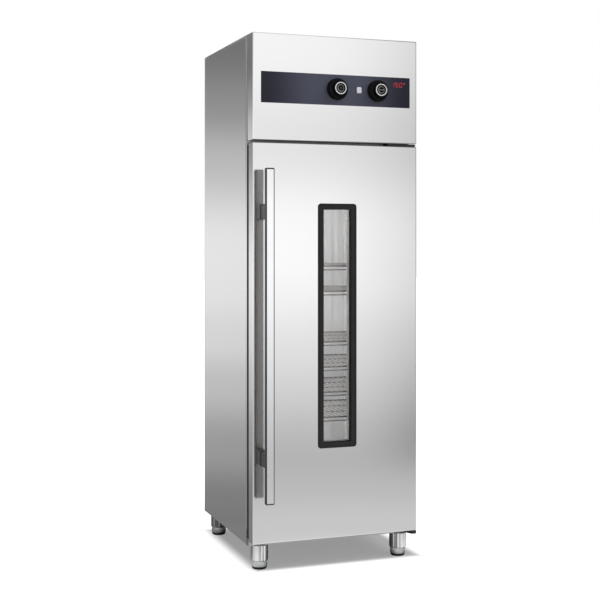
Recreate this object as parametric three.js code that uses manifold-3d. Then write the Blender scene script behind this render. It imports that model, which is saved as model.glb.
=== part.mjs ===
// Upright single-door sterilizer cabinet for dishes: a steel shell on four levelling feet, an insulated
// hot-air chamber with wire shelves, a tall glazed door and a head with the controls.
// Millimetres, +Z up. The door faces -Y, +X is to the right of someone standing in front of it.
// Inside the cabinet group the front of the door skin is y = 0 and the floor is z = 0.
import * as THREE from "three";
import { mergeVertices } from "three/addons/utils/BufferGeometryUtils.js";
import Module from "manifold-3d";

// Outside sizes
const cabinetWidth = 620;
const cabinetDepth = 628; // from the front of the door to the back panel
const cabinetHeight = 1865;
const sheet = 1; // outer steel sheet
const linerSheet = 0.8; // inner steel sheet
const seatGap = 0.3; // between pieces that rest on each other
const runGap = 0.4; // between a shaft, pin or button and its hole
const overrun = 6; // how far a cutting solid passes what it cuts

// Levels of the front
const shellLift = 84; // floor to the underside of the shell
const doorDrop = 16; // underside of the shell to the bottom of the door
const headHeight = 370;
const headGap = 10; // between the door and the head cover

// Front frame, door and seal
const doorThickness = 46;
const gasketDepth = 23;
const gasketWidth = 16;
const gasketInset = 4; // from the door's edge at the sides and the top
const gasketFootInset = 13; // from the door's edge at the bottom
const frameStep = 7; // the frame's face stands this far before the side panels
const stileWidth = 50;
const frameReturn = 40; // depth of the frame's inner returns
const sillFaceInset = 49; // front of the door to the face of the sill
const sillLip = 9; // the sill's step above the bottom of the door
const sillRail = 39; // chamber floor above the bottom of the door
const headerLap = 45; // chamber ceiling below the top of the door
const headerRise = 45; // top of the header rail above the top of the door
const panelFold = 20; // inward fold of the side panels

// Chamber and insulation
const backWall = 56; // chamber back to the back panel
const insulationThickness = 30;

// Base pan and feet
const panSheet = 2;
const panRim = 30;
const footRadius = 30.5;
const footSideInset = 45;
const footFrontInset = 66;
const footBackInset = 46;
const footCollarHeight = 31; // floor to the bottom of the tube
const footPadHeight = 13;
const footCollarRadius = 27.5;
const footPadRadius = 24;
const footStemRadius = 9;
const footStemHeight = 62;
const footRoof = 8; // thickness of the tube's closed top
const footSides = 20;
const collarFlats = 12;

// Head cover and controls
const coverLip = 60; // depth of the cover's lower return
const glassMargin = 29; // side of the cabinet to the glass, as if it were centred
const glassHeight = 108;
const glassThickness = 2;
const glassBelowTop = 133.5; // top of the cabinet to the top of the glass
const glassOffset = 1; // the glass is this far right of the middle
const glassSeat = 12; // width of the cover that the glass lies on
const knobSkirtRadius = 38.5;
const knobSkirtDepth = 15;
const knobGripRadius = 24;
const knobCapRadius = 22;
const knobReach = 40; // front of the door's plane to the front of the knob
const knobRingWidth = 3;
const knobRingRise = 0.8;
const knobPointerWidth = 3.5;
const knobHeightBelowGlassTop = 51.5;
const timerX = 0.8;
const thermostatX = 155.5;
const knobSides = 36;
const spindleRadius = 3;
const spindleReach = 24; // the spindle's end before the door's plane
const controlBodyWidth = 44;
const controlBodyDepth = 38;
const buttonX = 84;
const buttonWidth = 17.6;
const buttonHeight = 21.6;
const buttonCorner = 4;
const buttonReach = 5; // the button's face before the door's plane
const buttonTravel = 2.5;
const buttonBack = 0.6; // the button's back behind the door's plane
const displayInset = 42.5; // right end of the glass to the middle of the display
const displayAboveKnobs = 28.5;
const displayWidth = 64;
const displayHeight = 28;
const boardSheet = 2;
const boardBack = 12; // the board's front behind the door's plane
const boardLap = 5; // the board's edge over the cover's edge
const boardPostRadius = 3;
const switchWidth = 12;

// Fan, air duct, heater and probe
const plenumHeight = 94; // chamber ceiling to the baffle
const baffleInset = 10; // from the chamber's side walls
const baffleFront = 45; // the baffle's skirt behind the frame's face
const inletRadius = 80;
const ductInset = 70; // chamber wall to the side of the duct
const ductDepth = 32;
const ductFootGap = 11;
const ductSlotWidth = 60;
const ductSlotHeight = 7;
const ductSlotRows = 9;
const ductHeadGap = 6; // between the duct and the baffle
const fanRadius = 100;
const fanBladeInner = 62;
const fanBladeHeight = 34;
const fanBladeCount = 10;
const fanBladeThickness = 3;
const fanPlate = 2;
const fanHubRadius = 14;
const fanCeilingGap = 10;
const fanSides = 28;
const shaftRadius = 5;
const motorRadius = 52;
const motorHeight = 88;
const motorNeckRadius = 32;
const motorNeckHeight = 46;
const motorSides = 24;
const heaterRadius = 128;
const heaterTube = 4.5;
const heaterDrop = 42; // chamber ceiling to the heater ring
const heaterLegSpacing = 40;
const heaterCollar = 9;
const heaterCollarHeight = 4;
const heaterLegRise = 18; // above the ceiling sheet
const probeSideInset = 70; // chamber wall to the probe
const probeInset = 150; // front of the door to the probe
const probeRadius = 3;
const probeDrop = 60;
const probeCapRadius = 9;
const probeCapHeight = 4;
const probeRise = 16;

// Racks, shelves and tray
const rackLevels = 12;
const rackLowest = 93; // chamber floor to the lowest ledge
const rackHeadroom = 113; // highest ledge to the baffle
const rackPostWidth = 16;
const rackPostDepth = 8;
const rackFrontInset = 80; // frame's face to the front post
const rackBackInset = 56; // chamber back to the back post
const rackPostFoot = 9;
const rackPostHeadGap = 8; // between the posts and the baffle
const ledgeReach = 12; // the ledges' width
const ledgeThickness = 3;
const ledgeBackInset = 30; // chamber back to the back of the ledges
const ledgeFront = 52; // frame's face to the front of the ledges
const shelfLevels = [3, 4, 5, 6, 8, 9];
const shelfSideGap = 1.7; // between a shelf and the rack posts
const shelfFront = 35; // frame's face to the front of a shelf
const shelfBackGap = 10; // back of a shelf to the duct
const shelfBar = 6;
const shelfWire = 3.6;
const shelfWireCount = 9;
const shelfTieCount = 1;
const traySideInset = 28; // chamber wall to the tray
const trayBackGap = 13; // back of the tray to the duct
const trayFront = 32; // frame's face to the front of the tray
const trayHeight = 16;
const traySheet = 1;

// Window
const windowWidth = 145;
const windowHeadRail = 208; // top of the window to the top of the door
const windowFootRail = 317; // bottom of the door to the bottom of the window
const windowX = 2.3;
const windowCorner = 11;
const windowBand = 21;
const windowProud = 4;
const windowRecess = 16.5; // front of the door to the glass
const windowShoulder = 14; // lap of the frame over the pane's edge
const windowCollar = 2; // wall of the frame behind the shoulder
const paneThickness = 4;
const linerLap = 3; // the door liner's lap over the inner pane's edge

// Handle
const handleInset = 41; // side of the cabinet to the middle of the bar
const handleWidth = 31;
const handleThickness = 19;
const handleClear = 50; // door skin to the back of the bar
const handleHeadRail = 91; // top of the bar to the top of the door
const handleLift = 148; // bottom of the door to the bottom of the bar
const handleCorner = 4;
const handleRim = 3; // dark rim round the bright face
const handleEndRim = 4.5;
const handleFaceThickness = 1.8;
const handleFaceProud = 0.5;
const bracketInset = 148; // bar end to the middle of a bracket
const bracketHeight = 50;
const bracketWidth = 26;
const bracketBase = 4; // thickness of a bracket's foot plate
const bracketBaseLap = 2;
const arcSteps = 4;

// Hinges
const hingeSideInset = 8; // pin axis from the side of the cabinet
const hingeFrontInset = 8; // pin axis from the front of the door
const hingePinRadius = 4;
const hingePinLength = 18;
const hingePlate = 6;
const hingePlateReach = 112;
const hingePlateInset = 4; // side of the cabinet to the end of the plate
const hingePlateLift = 2; // above the top of the door
const hingeFlange = 4;
const hingeFlangeRise = 40;
const hingeBlockWidth = 30;
const hingeBlockHeight = 11;
const hingeBlockNose = 16;
const hingeBlockShoulder = 30;
const hingeFrontGap = 1.5;
const hingeWasherRadius = 7;
const hingeWasher = 1.2;
const pinSides = 16;

// Back: louvres and cable gland
const louvreWidth = 90;
const louvreHeight = 5;
const louvrePitch = 14;
const louvreCount = 6;
const louvreInset = 160; // side of the cabinet to the middle of the louvres
const louvreDrop = 90; // top of the cabinet to the top louvre
const glandInset = 100; // side of the cabinet to the middle of the gland
const glandDrop = 130;
const glandRadius = 15;
const glandNoseRadius = 10;
const glandHexDepth = 7;
const glandReach = 18; // back panel to the gland's nose
const glandStemRadius = 8;
const glandStemLength = 14;
const glandBore = 5;

// Places that follow from the sizes
const halfWidth = cabinetWidth / 2;
const doorBottom = shellLift + doorDrop;
const headBottom = cabinetHeight - headHeight;
const doorTop = headBottom - headGap;
const frameFace = doorThickness + gasketDepth + 2 * seatGap;
const shellFront = frameFace + frameStep;
const returnEnd = frameFace + frameReturn;
const linerFront = returnEnd + seatGap;
const chamberHalf = halfWidth - stileWidth;
const chamberBack = cabinetDepth - backWall;
const chamberFloor = doorBottom + sillRail;
const chamberCeiling = doorTop - headerLap;
const sillTop = doorBottom + sillLip;
const headerTop = doorTop + headerRise;
const panelBack = cabinetDepth - sheet - seatGap;
const underTop = cabinetHeight - sheet - seatGap;
const footX = halfWidth - footSideInset;
const footYs = { front: footFrontInset, back: cabinetDepth - footBackInset };
const glassTop = cabinetHeight - glassBelowTop;
const glassBottom = glassTop - glassHeight;
const glassWidth = cabinetWidth - 2 * glassMargin;
const glassLeft = glassOffset - glassWidth / 2;
const glassRight = glassOffset + glassWidth / 2;
const glassFront = -(glassThickness + seatGap);
const controlZ = glassTop - knobHeightBelowGlassTop;
const displayX = glassRight - displayInset;
const displayZ = controlZ + displayAboveKnobs;
const coverCut = {
  x: [glassLeft + glassSeat, glassRight - glassSeat],
  z: [glassBottom + glassSeat, glassTop - glassSeat],
};
const baffleZ = chamberCeiling - plenumHeight;
const ductFace = chamberBack - ductDepth;
const ductHalfWidth = chamberHalf - ductInset;
const fanDepth = (frameFace + baffleFront + chamberBack) / 2; // the fan's axis
const ductSlotX = ductHalfWidth / 2;
const probeX = chamberHalf - probeSideInset;
const ductTop = baffleZ - ductHeadGap;
const ductBottom = chamberFloor + ductFootGap;
const postX = chamberHalf - seatGap - rackPostDepth; // inner face of the rack posts
const ledgeX = chamberHalf - seatGap - ledgeReach; // inner edge of the ledges
const shelfHalf = postX - shelfSideGap;
const rackRise = baffleZ - rackHeadroom - chamberFloor - rackLowest;
const rackPitch = rackRise / (rackLevels - 1);
const trayHalfWidth = chamberHalf - traySideInset;
const windowTop = doorTop - windowHeadRail;
const windowBottom = doorBottom + windowFootRail;
const windowHeight = windowTop - windowBottom;
const windowZ = (windowTop + windowBottom) / 2;
const openingWidth = windowWidth - 2 * windowBand;
const openingHeight = windowHeight - 2 * windowBand;
const paneWidth = openingWidth + 2 * windowShoulder;
const paneHeight = openingHeight + 2 * windowShoulder;
const collarWidth = paneWidth + 2 * (seatGap + windowCollar);
const collarHeight = paneHeight + 2 * (seatGap + windowCollar);
const handleBack = -handleClear;
const handleFront = handleBack - handleThickness;
const handleBottom = doorBottom + handleLift;
const handleTop = doorTop - handleHeadRail;
const handleX = handleInset - halfWidth;
const handleReach = handleClear + handleThickness + handleFaceProud;
const louvreX = halfWidth - louvreInset;
const glandX = glandInset - halfWidth;
const hingeX = halfWidth - hingeSideInset;
const hingeY = hingeFrontInset;
const frontY = (handleReach - cabinetDepth - glandReach) / 2; // the origin is mid-way front to back

// Materials
const steel = new THREE.MeshStandardMaterial({ color: 0xc9cbcc, roughness: 0.32, metalness: 1 });
const innerSteel = new THREE.MeshStandardMaterial({ color: 0xb9bbbb, roughness: 0.4, metalness: 1 });
const polished = new THREE.MeshStandardMaterial({ color: 0xd6d8da, roughness: 0.12, metalness: 1 });
const darkMetal = new THREE.MeshStandardMaterial({ color: 0x2b2c2e, roughness: 0.5, metalness: 0.6 });
const darkPlastic = new THREE.MeshStandardMaterial({ color: 0x343537, roughness: 0.45, metalness: 0 });
const blackPlastic = new THREE.MeshStandardMaterial({ color: 0x08080a, roughness: 0.35, metalness: 0 });
const whitePlastic = new THREE.MeshStandardMaterial({ color: 0xeeeff2, roughness: 0.4, metalness: 0 });
const blackRubber = new THREE.MeshStandardMaterial({ color: 0x1c1c1d, roughness: 0.75, metalness: 0 });
const fasciaGlass = new THREE.MeshStandardMaterial({ color: 0x3c3c49, roughness: 0.12, metalness: 0 });
const boardGreen = new THREE.MeshStandardMaterial({ color: 0x24523a, roughness: 0.6, metalness: 0 });
const wool = new THREE.MeshStandardMaterial({ color: 0xd8cfa8, roughness: 0.95, metalness: 0 });
const castAluminium = new THREE.MeshStandardMaterial({ color: 0x9a9c9e, roughness: 0.5, metalness: 1 });
const clearGlass = new THREE.MeshStandardMaterial({
  color: 0xdfe8ea,
  roughness: 0.03,
  metalness: 0,
  transparent: true,
  opacity: 0.35,
});

// Solids: three.js makes every shape, and manifold-3d only joins and cuts them
const wasm = await Module();
wasm.setup();

function solid(geometry) {
  const bare = geometry.clone();
  bare.deleteAttribute("normal");
  bare.deleteAttribute("uv");
  const merged = mergeVertices(bare);
  return new wasm.Manifold(
    new wasm.Mesh({
      numProp: 3,
      vertProperties: merged.attributes.position.array,
      triVerts: new Uint32Array(merged.index.array),
    }),
  );
}

function geometryOf(made) {
  const mesh = made.getMesh();
  const geometry = new THREE.BufferGeometry();
  geometry.setAttribute("position", new THREE.BufferAttribute(mesh.vertProperties, mesh.numProp));
  geometry.setIndex(new THREE.BufferAttribute(mesh.triVerts, 1));
  const flat = geometry.toNonIndexed();
  flat.computeVertexNormals();
  return flat;
}

const joined = (solids) => solids.reduce((whole, next) => whole.add(next));

// A block between two corners, given as ranges along x, y and z
function block([x0, x1], [y0, y1], [z0, z1]) {
  const geometry = new THREE.BoxGeometry(x1 - x0, y1 - y0, z1 - z0);
  geometry.translate((x0 + x1) / 2, (y0 + y1) / 2, (z0 + z1) / 2);
  return solid(geometry);
}

// An outline in the x-y plane carried from z0 to z1
function upright(points, [z0, z1]) {
  const shape = points instanceof THREE.Shape ? points : outline(points);
  const geometry = new THREE.ExtrudeGeometry(shape, {
    depth: z1 - z0,
    bevelEnabled: false,
    curveSegments: arcSteps,
  });
  geometry.translate(0, 0, z0);
  return solid(geometry);
}

// An outline in the y-z plane carried from x0 to x1
function across(points, [x0, x1]) {
  const geometry = new THREE.ExtrudeGeometry(outline(points), { depth: x1 - x0, bevelEnabled: false });
  geometry.applyMatrix4(
    new THREE.Matrix4().makeBasis(
      new THREE.Vector3(0, 1, 0),
      new THREE.Vector3(0, 0, 1),
      new THREE.Vector3(1, 0, 0),
    ),
  );
  geometry.translate(x0, 0, 0);
  return solid(geometry);
}

// An outline in the x-z plane carried from y0 (front) to y1 (back)
function facing(shape, [y0, y1]) {
  const geometry = new THREE.ExtrudeGeometry(shape, {
    depth: y1 - y0,
    bevelEnabled: false,
    curveSegments: arcSteps,
  });
  geometry.rotateX(Math.PI / 2);
  geometry.translate(0, y1, 0);
  return solid(geometry);
}

function outline(points) {
  return new THREE.Shape(points.map(([a, b]) => new THREE.Vector2(a, b)));
}

// A rectangle with round corners about a middle point
function roundedRectangle(cx, cy, width, height, radius) {
  const [l, r] = [cx - width / 2, cx + width / 2];
  const [b, t] = [cy - height / 2, cy + height / 2];
  const shape = new THREE.Shape();
  shape.moveTo(l + radius, b);
  shape.lineTo(r - radius, b);
  shape.absarc(r - radius, b + radius, radius, -Math.PI / 2, 0, false);
  shape.lineTo(r, t - radius);
  shape.absarc(r - radius, t - radius, radius, 0, Math.PI / 2, false);
  shape.lineTo(l + radius, t);
  shape.absarc(l + radius, t - radius, radius, Math.PI / 2, Math.PI, false);
  shape.lineTo(l, b + radius);
  shape.absarc(l + radius, b + radius, radius, Math.PI, 1.5 * Math.PI, false);
  return shape;
}

// A vertical rod or disc
function post(x, y, radius, [z0, z1], sides = pinSides) {
  const geometry = new THREE.CylinderGeometry(radius, radius, z1 - z0, sides);
  geometry.rotateX(Math.PI / 2);
  geometry.translate(x, y, (z0 + z1) / 2);
  return solid(geometry);
}

// A rod or disc whose axis runs front to back
function rod(x, z, radius, [y0, y1], sides = pinSides) {
  const geometry = new THREE.CylinderGeometry(radius, radius, y1 - y0, sides);
  geometry.translate(x, (y0 + y1) / 2, z);
  return solid(geometry);
}

// A turned solid: radius and height pairs round a vertical axis at x, y
function turned(x, y, pairs, sides) {
  const profile = pairs.map(([radius, height]) => new THREE.Vector2(radius, height));
  const geometry = new THREE.LatheGeometry(profile, sides);
  geometry.rotateX(Math.PI / 2);
  geometry.translate(x, y, 0);
  return solid(geometry);
}

const cabinet = new THREE.Group();
cabinet.position.y = frontY;

function add(group, name, made, material) {
  const mesh = new THREE.Mesh(geometryOf(made), material);
  mesh.name = name;
  group.add(mesh);
}

const sides = { left: -1, right: 1 };
const spanOf = (side, inner, outer) => (side < 0 ? [-outer, -inner] : [inner, outer]);

// Outer shell: side, top and back panels and the base pan
function makeShell() {
  const shell = new THREE.Group();
  const height = [shellLift, underTop];
  for (const [name, side] of Object.entries(sides)) {
    const outside = spanOf(side, halfWidth - panelFold, halfWidth);
    const whole = block(outside, [shellFront, panelBack], height);
    const inside = spanOf(side, halfWidth - panelFold - overrun, halfWidth - sheet);
    const through = [shellLift - overrun, underTop + overrun];
    const hollow = block(inside, [shellFront + sheet, panelBack - sheet], through);
    add(shell, "side_panel_" + name, whole.subtract(hollow), steel);
  }
  const topRange = [cabinetHeight - sheet, cabinetHeight];
  const topPanel = block([-halfWidth, halfWidth], [frameFace, cabinetDepth], topRange);
  add(shell, "top_panel", topPanel, steel);
  add(shell, "back_panel", makeBackPanel(height), steel);
  add(shell, "base_pan", makeBasePan(), steel);
  return shell;
}

function makeBackPanel(height) {
  let panel = block([-halfWidth, halfWidth], [cabinetDepth - sheet, cabinetDepth], height);
  const through = [cabinetDepth - overrun, cabinetDepth + overrun];
  for (let i = 0; i < louvreCount; i++) {
    const top = cabinetHeight - louvreDrop - i * louvrePitch;
    const span = [louvreX - louvreWidth / 2, louvreX + louvreWidth / 2];
    panel = panel.subtract(block(span, through, [top - louvreHeight, top]));
  }
  const hole = glandStemRadius + runGap;
  return panel.subtract(rod(glandX, cabinetHeight - glandDrop, hole, through));
}

// The pan closes the shell below, and its front tongue lies inside the sill
function makeBasePan() {
  const half = halfWidth - sheet - seatGap;
  const tongueHalf = halfWidth - panelFold - 2 * seatGap;
  const tongueFront = sillFaceInset + sheet + seatGap;
  const front = shellFront + sheet + seatGap;
  const back = panelBack - sheet - seatGap;
  const floor = [shellLift, shellLift + panSheet];
  const rim = [shellLift, shellLift + panRim];
  const plates = [
    block([-half, half], [front, back], floor),
    block([-tongueHalf, tongueHalf], [tongueFront, front + panSheet], floor),
    block([-half, half], [back - sheet, back], rim),
  ];
  for (const side of Object.values(sides)) {
    plates.push(block(spanOf(side, half - sheet, half), [front, back], rim));
  }
  return joined(plates);
}

// Front frame: sill, two stiles and the header rail, bent from sheet
function makeFrontFrame() {
  const frame = new THREE.Group();
  add(frame, "front_sill", makeSill(), steel);
  const stileEnd = shellFront - seatGap;
  for (const [name, side] of Object.entries(sides)) {
    const profile = [
      [halfWidth, stileEnd],
      [halfWidth, frameFace],
      [chamberHalf, frameFace],
      [chamberHalf, returnEnd],
      [chamberHalf + sheet, returnEnd],
      [chamberHalf + sheet, frameFace + sheet],
      [halfWidth - sheet, frameFace + sheet],
      [halfWidth - sheet, stileEnd],
    ].map(([x, y]) => [side * x, y]);
    add(frame, "stile_" + name, upright(profile, [chamberFloor + seatGap, underTop]), steel);
  }
  const header = [
    [returnEnd, headerTop],
    [frameFace, headerTop],
    [frameFace, chamberCeiling],
    [returnEnd, chamberCeiling],
    [returnEnd, chamberCeiling + sheet],
    [frameFace + sheet, chamberCeiling + sheet],
    [frameFace + sheet, headerTop - sheet],
    [returnEnd, headerTop - sheet],
  ];
  const half = chamberHalf - seatGap;
  add(frame, "header_rail", across(header, [-half, half]), steel);
  return frame;
}

function makeSill() {
  const end = shellFront - seatGap;
  const under = chamberFloor - sheet;
  const profile = [
    [sillFaceInset, shellLift],
    [sillFaceInset, sillTop],
    [frameFace, sillTop],
    [frameFace, chamberFloor],
    [returnEnd, chamberFloor],
    [returnEnd, under],
    [end, under],
    [end, shellLift],
  ];
  const inside = [
    [sillFaceInset + sheet, shellLift - overrun],
    [sillFaceInset + sheet, sillTop - sheet],
    [frameFace + sheet, sillTop - sheet],
    [frameFace + sheet, under],
    [end + overrun, under],
    [end + overrun, shellLift - overrun],
  ];
  const innerHalf = halfWidth - sheet;
  const hollow = across(inside, [-innerHalf, innerHalf]);
  let sill = across(profile, [-halfWidth, halfWidth]).subtract(hollow);
  for (const side of Object.values(sides)) {
    const span = spanOf(side, halfWidth - panelFold - seatGap, halfWidth + overrun);
    sill = sill.subtract(block(span, [end, returnEnd + overrun], [shellLift, chamberFloor + overrun]));
  }
  return sill;
}

// Chamber liner and the insulation round it
function makeChamber() {
  const chamber = new THREE.Group();
  const depth = [linerFront, chamberBack];
  const outer = chamberHalf + linerSheet;
  for (const [name, side] of Object.entries(sides)) {
    const wall = block(spanOf(side, chamberHalf, outer), depth, [chamberFloor, chamberCeiling]);
    add(chamber, "liner_" + name, wall, innerSteel);
  }
  const backRange = [chamberBack + seatGap, chamberBack + seatGap + linerSheet];
  const wholeHeight = [chamberFloor - linerSheet, chamberCeiling + linerSheet];
  add(chamber, "liner_back", block([-outer, outer], backRange, wholeHeight), innerSteel);
  const floorRange = [chamberFloor - seatGap - linerSheet, chamberFloor - seatGap];
  add(chamber, "liner_floor", block([-outer, outer], depth, floorRange), innerSteel);
  add(chamber, "liner_ceiling", makeCeiling(outer, depth), innerSteel);
  add(chamber, "insulation", makeInsulation(outer), wool);
  return chamber;
}

const ceilingTop = chamberCeiling + seatGap + linerSheet;

function makeCeiling(outer, depth) {
  let plate = block([-outer, outer], depth, [chamberCeiling + seatGap, ceilingTop]);
  const through = [chamberCeiling - overrun, ceilingTop + overrun];
  plate = plate.subtract(post(0, fanDepth, shaftRadius + runGap, through));
  for (const x of [-heaterLegSpacing / 2, heaterLegSpacing / 2]) {
    plate = plate.subtract(post(x, fanDepth - heaterRadius, heaterTube + runGap, through));
  }
  return plate.subtract(post(probeX, probeInset, probeRadius + runGap, through));
}

function makeInsulation(outer) {
  const inside = outer + seatGap;
  const half = inside + insulationThickness;
  const inBack = chamberBack + 2 * seatGap + linerSheet;
  const inFloor = chamberFloor - 2 * seatGap - linerSheet;
  const inCeiling = ceilingTop + seatGap;
  const front = linerFront + seatGap;
  const whole = block(
    [-half, half],
    [front, inBack + insulationThickness],
    [inFloor - insulationThickness, inCeiling + insulationThickness],
  );
  let wrap = whole.subtract(block([-inside, inside], [front - overrun, inBack], [inFloor, inCeiling]));
  const through = [inCeiling - overrun, inCeiling + insulationThickness + overrun];
  wrap = wrap.subtract(post(0, fanDepth, motorNeckRadius + seatGap, through, motorSides));
  for (const x of [-heaterLegSpacing / 2, heaterLegSpacing / 2]) {
    wrap = wrap.subtract(post(x, fanDepth - heaterRadius, heaterTube + runGap, through));
  }
  return wrap.subtract(post(probeX, probeInset, probeRadius + runGap, through));
}

// Head: folded cover, dark glass and what stands behind it
function makeHead() {
  const head = new THREE.Group();
  add(head, "head_cover", makeHeadCover(), steel);
  add(head, "control_glass", makeControlGlass(), fasciaGlass);
  add(head, "control_board", makeControlBoard(), boardGreen);
  for (const [name, x] of [["timer", timerX], ["thermostat", thermostatX]]) {
    add(head, name + "_body", makeControlBody(x), darkPlastic);
    add(head, name + "_knob", makeKnob(x), blackPlastic);
  }
  add(head, "start_button", makeButton(), whitePlastic);
  return head;
}

function makeHeadCover() {
  const back = frameFace - seatGap;
  const inside = halfWidth - sheet;
  const rise = [headBottom + sheet, cabinetHeight - sheet];
  const whole = block([-halfWidth, halfWidth], [0, back], [headBottom, cabinetHeight]);
  const hollow = block([-inside, inside], [sheet, back + overrun], rise);
  const under = block([-inside, inside], [coverLip, back + overrun], [headBottom - overrun, rise[1]]);
  const cut = block(coverCut.x, [-overrun, overrun], coverCut.z);
  return whole.subtract(hollow).subtract(under).subtract(cut);
}

function makeControlGlass() {
  const range = [glassFront, -seatGap];
  const through = [glassFront - overrun, overrun];
  let glass = block([glassLeft, glassRight], range, [glassBottom, glassTop]);
  for (const x of [timerX, thermostatX]) {
    glass = glass.subtract(rod(x, controlZ, spindleRadius + runGap, through));
  }
  const width = buttonWidth + 2 * runGap;
  const height = buttonHeight + 2 * runGap;
  const hole = roundedRectangle(buttonX, controlZ, width, height, buttonCorner + runGap);
  return glass.subtract(facing(hole, through));
}

function makeControlBoard() {
  const back = boardBack + boardSheet;
  const spanX = [coverCut.x[0] - boardLap, coverCut.x[1] + boardLap];
  const spanZ = [coverCut.z[0] - boardLap, coverCut.z[1] + boardLap];
  const solids = [block(spanX, [boardBack, back], spanZ)];
  const postRange = [sheet + seatGap, back];
  for (const x of [spanX[0] + boardPostRadius, spanX[1] - boardPostRadius]) {
    for (const z of [spanZ[0] + boardPostRadius, spanZ[1] - boardPostRadius]) {
      solids.push(rod(x, z, boardPostRadius, postRange));
    }
  }
  const display = [displayX - displayWidth / 2, displayX + displayWidth / 2];
  const displayRise = [displayZ - displayHeight / 2, displayZ + displayHeight / 2];
  solids.push(block(display, postRange, displayRise));
  const switchFront = buttonBack + buttonTravel + seatGap;
  const switchSpan = [buttonX - switchWidth / 2, buttonX + switchWidth / 2];
  const switchRise = [controlZ - switchWidth / 2, controlZ + switchWidth / 2];
  solids.push(block(switchSpan, [switchFront, back], switchRise));
  let board = joined(solids);
  for (const x of [timerX, thermostatX]) {
    board = board.subtract(rod(x, controlZ, spindleRadius + runGap, [-overrun, back + overrun]));
  }
  return board;
}

// A timer or thermostat behind the board, with the spindle that carries its knob
function makeControlBody(x) {
  const front = boardBack + boardSheet + seatGap;
  const half = controlBodyWidth / 2;
  const rise = [controlZ - half, controlZ + half];
  const body = block([x - half, x + half], [front, front + controlBodyDepth], rise);
  return body.add(rod(x, controlZ, spindleRadius, [-spindleReach, front + seatGap]));
}

function makeKnob(x) {
  const back = glassFront - seatGap;
  const skirtFront = back - knobSkirtDepth;
  const face = -(knobReach - knobRingRise);
  let knob = rod(x, controlZ, knobSkirtRadius, [skirtFront, back], knobSides);
  const gripDepth = skirtFront - face + seatGap;
  const grip = new THREE.CylinderGeometry(knobGripRadius, knobCapRadius, gripDepth, knobSides);
  grip.translate(x, (skirtFront + face + seatGap) / 2, controlZ);
  knob = knob.add(solid(grip));
  const ringRange = [-knobReach, face + seatGap];
  const ring = rod(x, controlZ, knobCapRadius, ringRange, knobSides);
  const ringInside = knobCapRadius - knobRingWidth;
  const ringHole = rod(x, controlZ, ringInside, [-knobReach - overrun, overrun], knobSides);
  knob = knob.add(ring.subtract(ringHole));
  const pointer = [x - knobPointerWidth / 2, x + knobPointerWidth / 2];
  knob = knob.add(block(pointer, ringRange, [controlZ, controlZ + knobCapRadius - knobRingWidth / 2]));
  return knob.subtract(rod(x, controlZ, spindleRadius + runGap, [-(spindleReach + runGap), overrun]));
}

function makeButton() {
  const shape = roundedRectangle(buttonX, controlZ, buttonWidth, buttonHeight, buttonCorner);
  return facing(shape, [-buttonReach, buttonBack]);
}

// Air: motor above the chamber, impeller in the plenum, baffle, rear duct, heater ring and probe
function makeAir() {
  const air = new THREE.Group();
  add(air, "fan_motor", makeMotor(), castAluminium);
  add(air, "fan_impeller", makeImpeller(), castAluminium);
  add(air, "fan_baffle", makeBaffle(), innerSteel);
  add(air, "rear_duct", makeDuct(), innerSteel);
  add(air, "heater_element", makeHeater(), darkMetal);
  add(air, "temperature_probe", makeProbe(), polished);
  return air;
}

const impellerTop = chamberCeiling - fanCeilingGap;
const impellerFoot = impellerTop - fanPlate - fanBladeHeight;

function makeMotor() {
  const seat = ceilingTop + seatGap;
  const shoulder = seat + motorNeckHeight;
  const pairs = [
    [0, impellerFoot],
    [shaftRadius, impellerFoot],
    [shaftRadius, seat],
    [motorNeckRadius, seat],
    [motorNeckRadius, shoulder],
    [motorRadius, shoulder],
    [motorRadius, shoulder + motorHeight],
    [0, shoulder + motorHeight],
  ];
  return turned(0, fanDepth, pairs, motorSides);
}

function makeImpeller() {
  const plate = [impellerTop - fanPlate, impellerTop];
  const blades = [impellerFoot, impellerTop - fanPlate / 2];
  const solids = [
    post(0, fanDepth, fanRadius, plate, fanSides),
    post(0, fanDepth, fanHubRadius, [impellerFoot, impellerTop], pinSides),
  ];
  const eye = post(0, fanDepth, fanBladeInner, [impellerFoot - overrun, impellerTop], fanSides);
  const ring = post(0, fanDepth, fanRadius, [impellerFoot, impellerFoot + fanPlate], fanSides);
  solids.push(ring.subtract(eye));
  const start = fanBladeInner + fanPlate;
  for (let i = 0; i < fanBladeCount; i++) {
    const bladeLength = fanRadius - start - fanPlate;
    const blade = new THREE.BoxGeometry(bladeLength, fanBladeThickness, blades[1] - blades[0]);
    blade.translate((fanRadius + start) / 2, 0, (blades[0] + blades[1]) / 2);
    blade.rotateZ((i * 2 * Math.PI) / fanBladeCount);
    blade.translate(0, fanDepth, 0);
    solids.push(solid(blade));
  }
  const bore = [impellerFoot - overrun, impellerTop + overrun];
  return joined(solids).subtract(post(0, fanDepth, shaftRadius + runGap, bore));
}

function makeBaffle() {
  const half = chamberHalf - baffleInset;
  const front = frameFace + baffleFront;
  const back = chamberBack - seatGap;
  const top = chamberCeiling - seatGap;
  const inside = half - linerSheet;
  const whole = block([-half, half], [front, back], [baffleZ, top]);
  const rise = [baffleZ + linerSheet, top + overrun];
  const hollow = block([-inside, inside], [front + linerSheet, back + overrun], rise);
  const through = [baffleZ - overrun, baffleZ + overrun];
  const inlet = post(0, fanDepth, inletRadius, through, fanSides);
  const outlet = block([-ductHalfWidth, ductHalfWidth], [ductFace, chamberBack + overrun], through);
  return whole.subtract(hollow).subtract(inlet).subtract(outlet);
}

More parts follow.
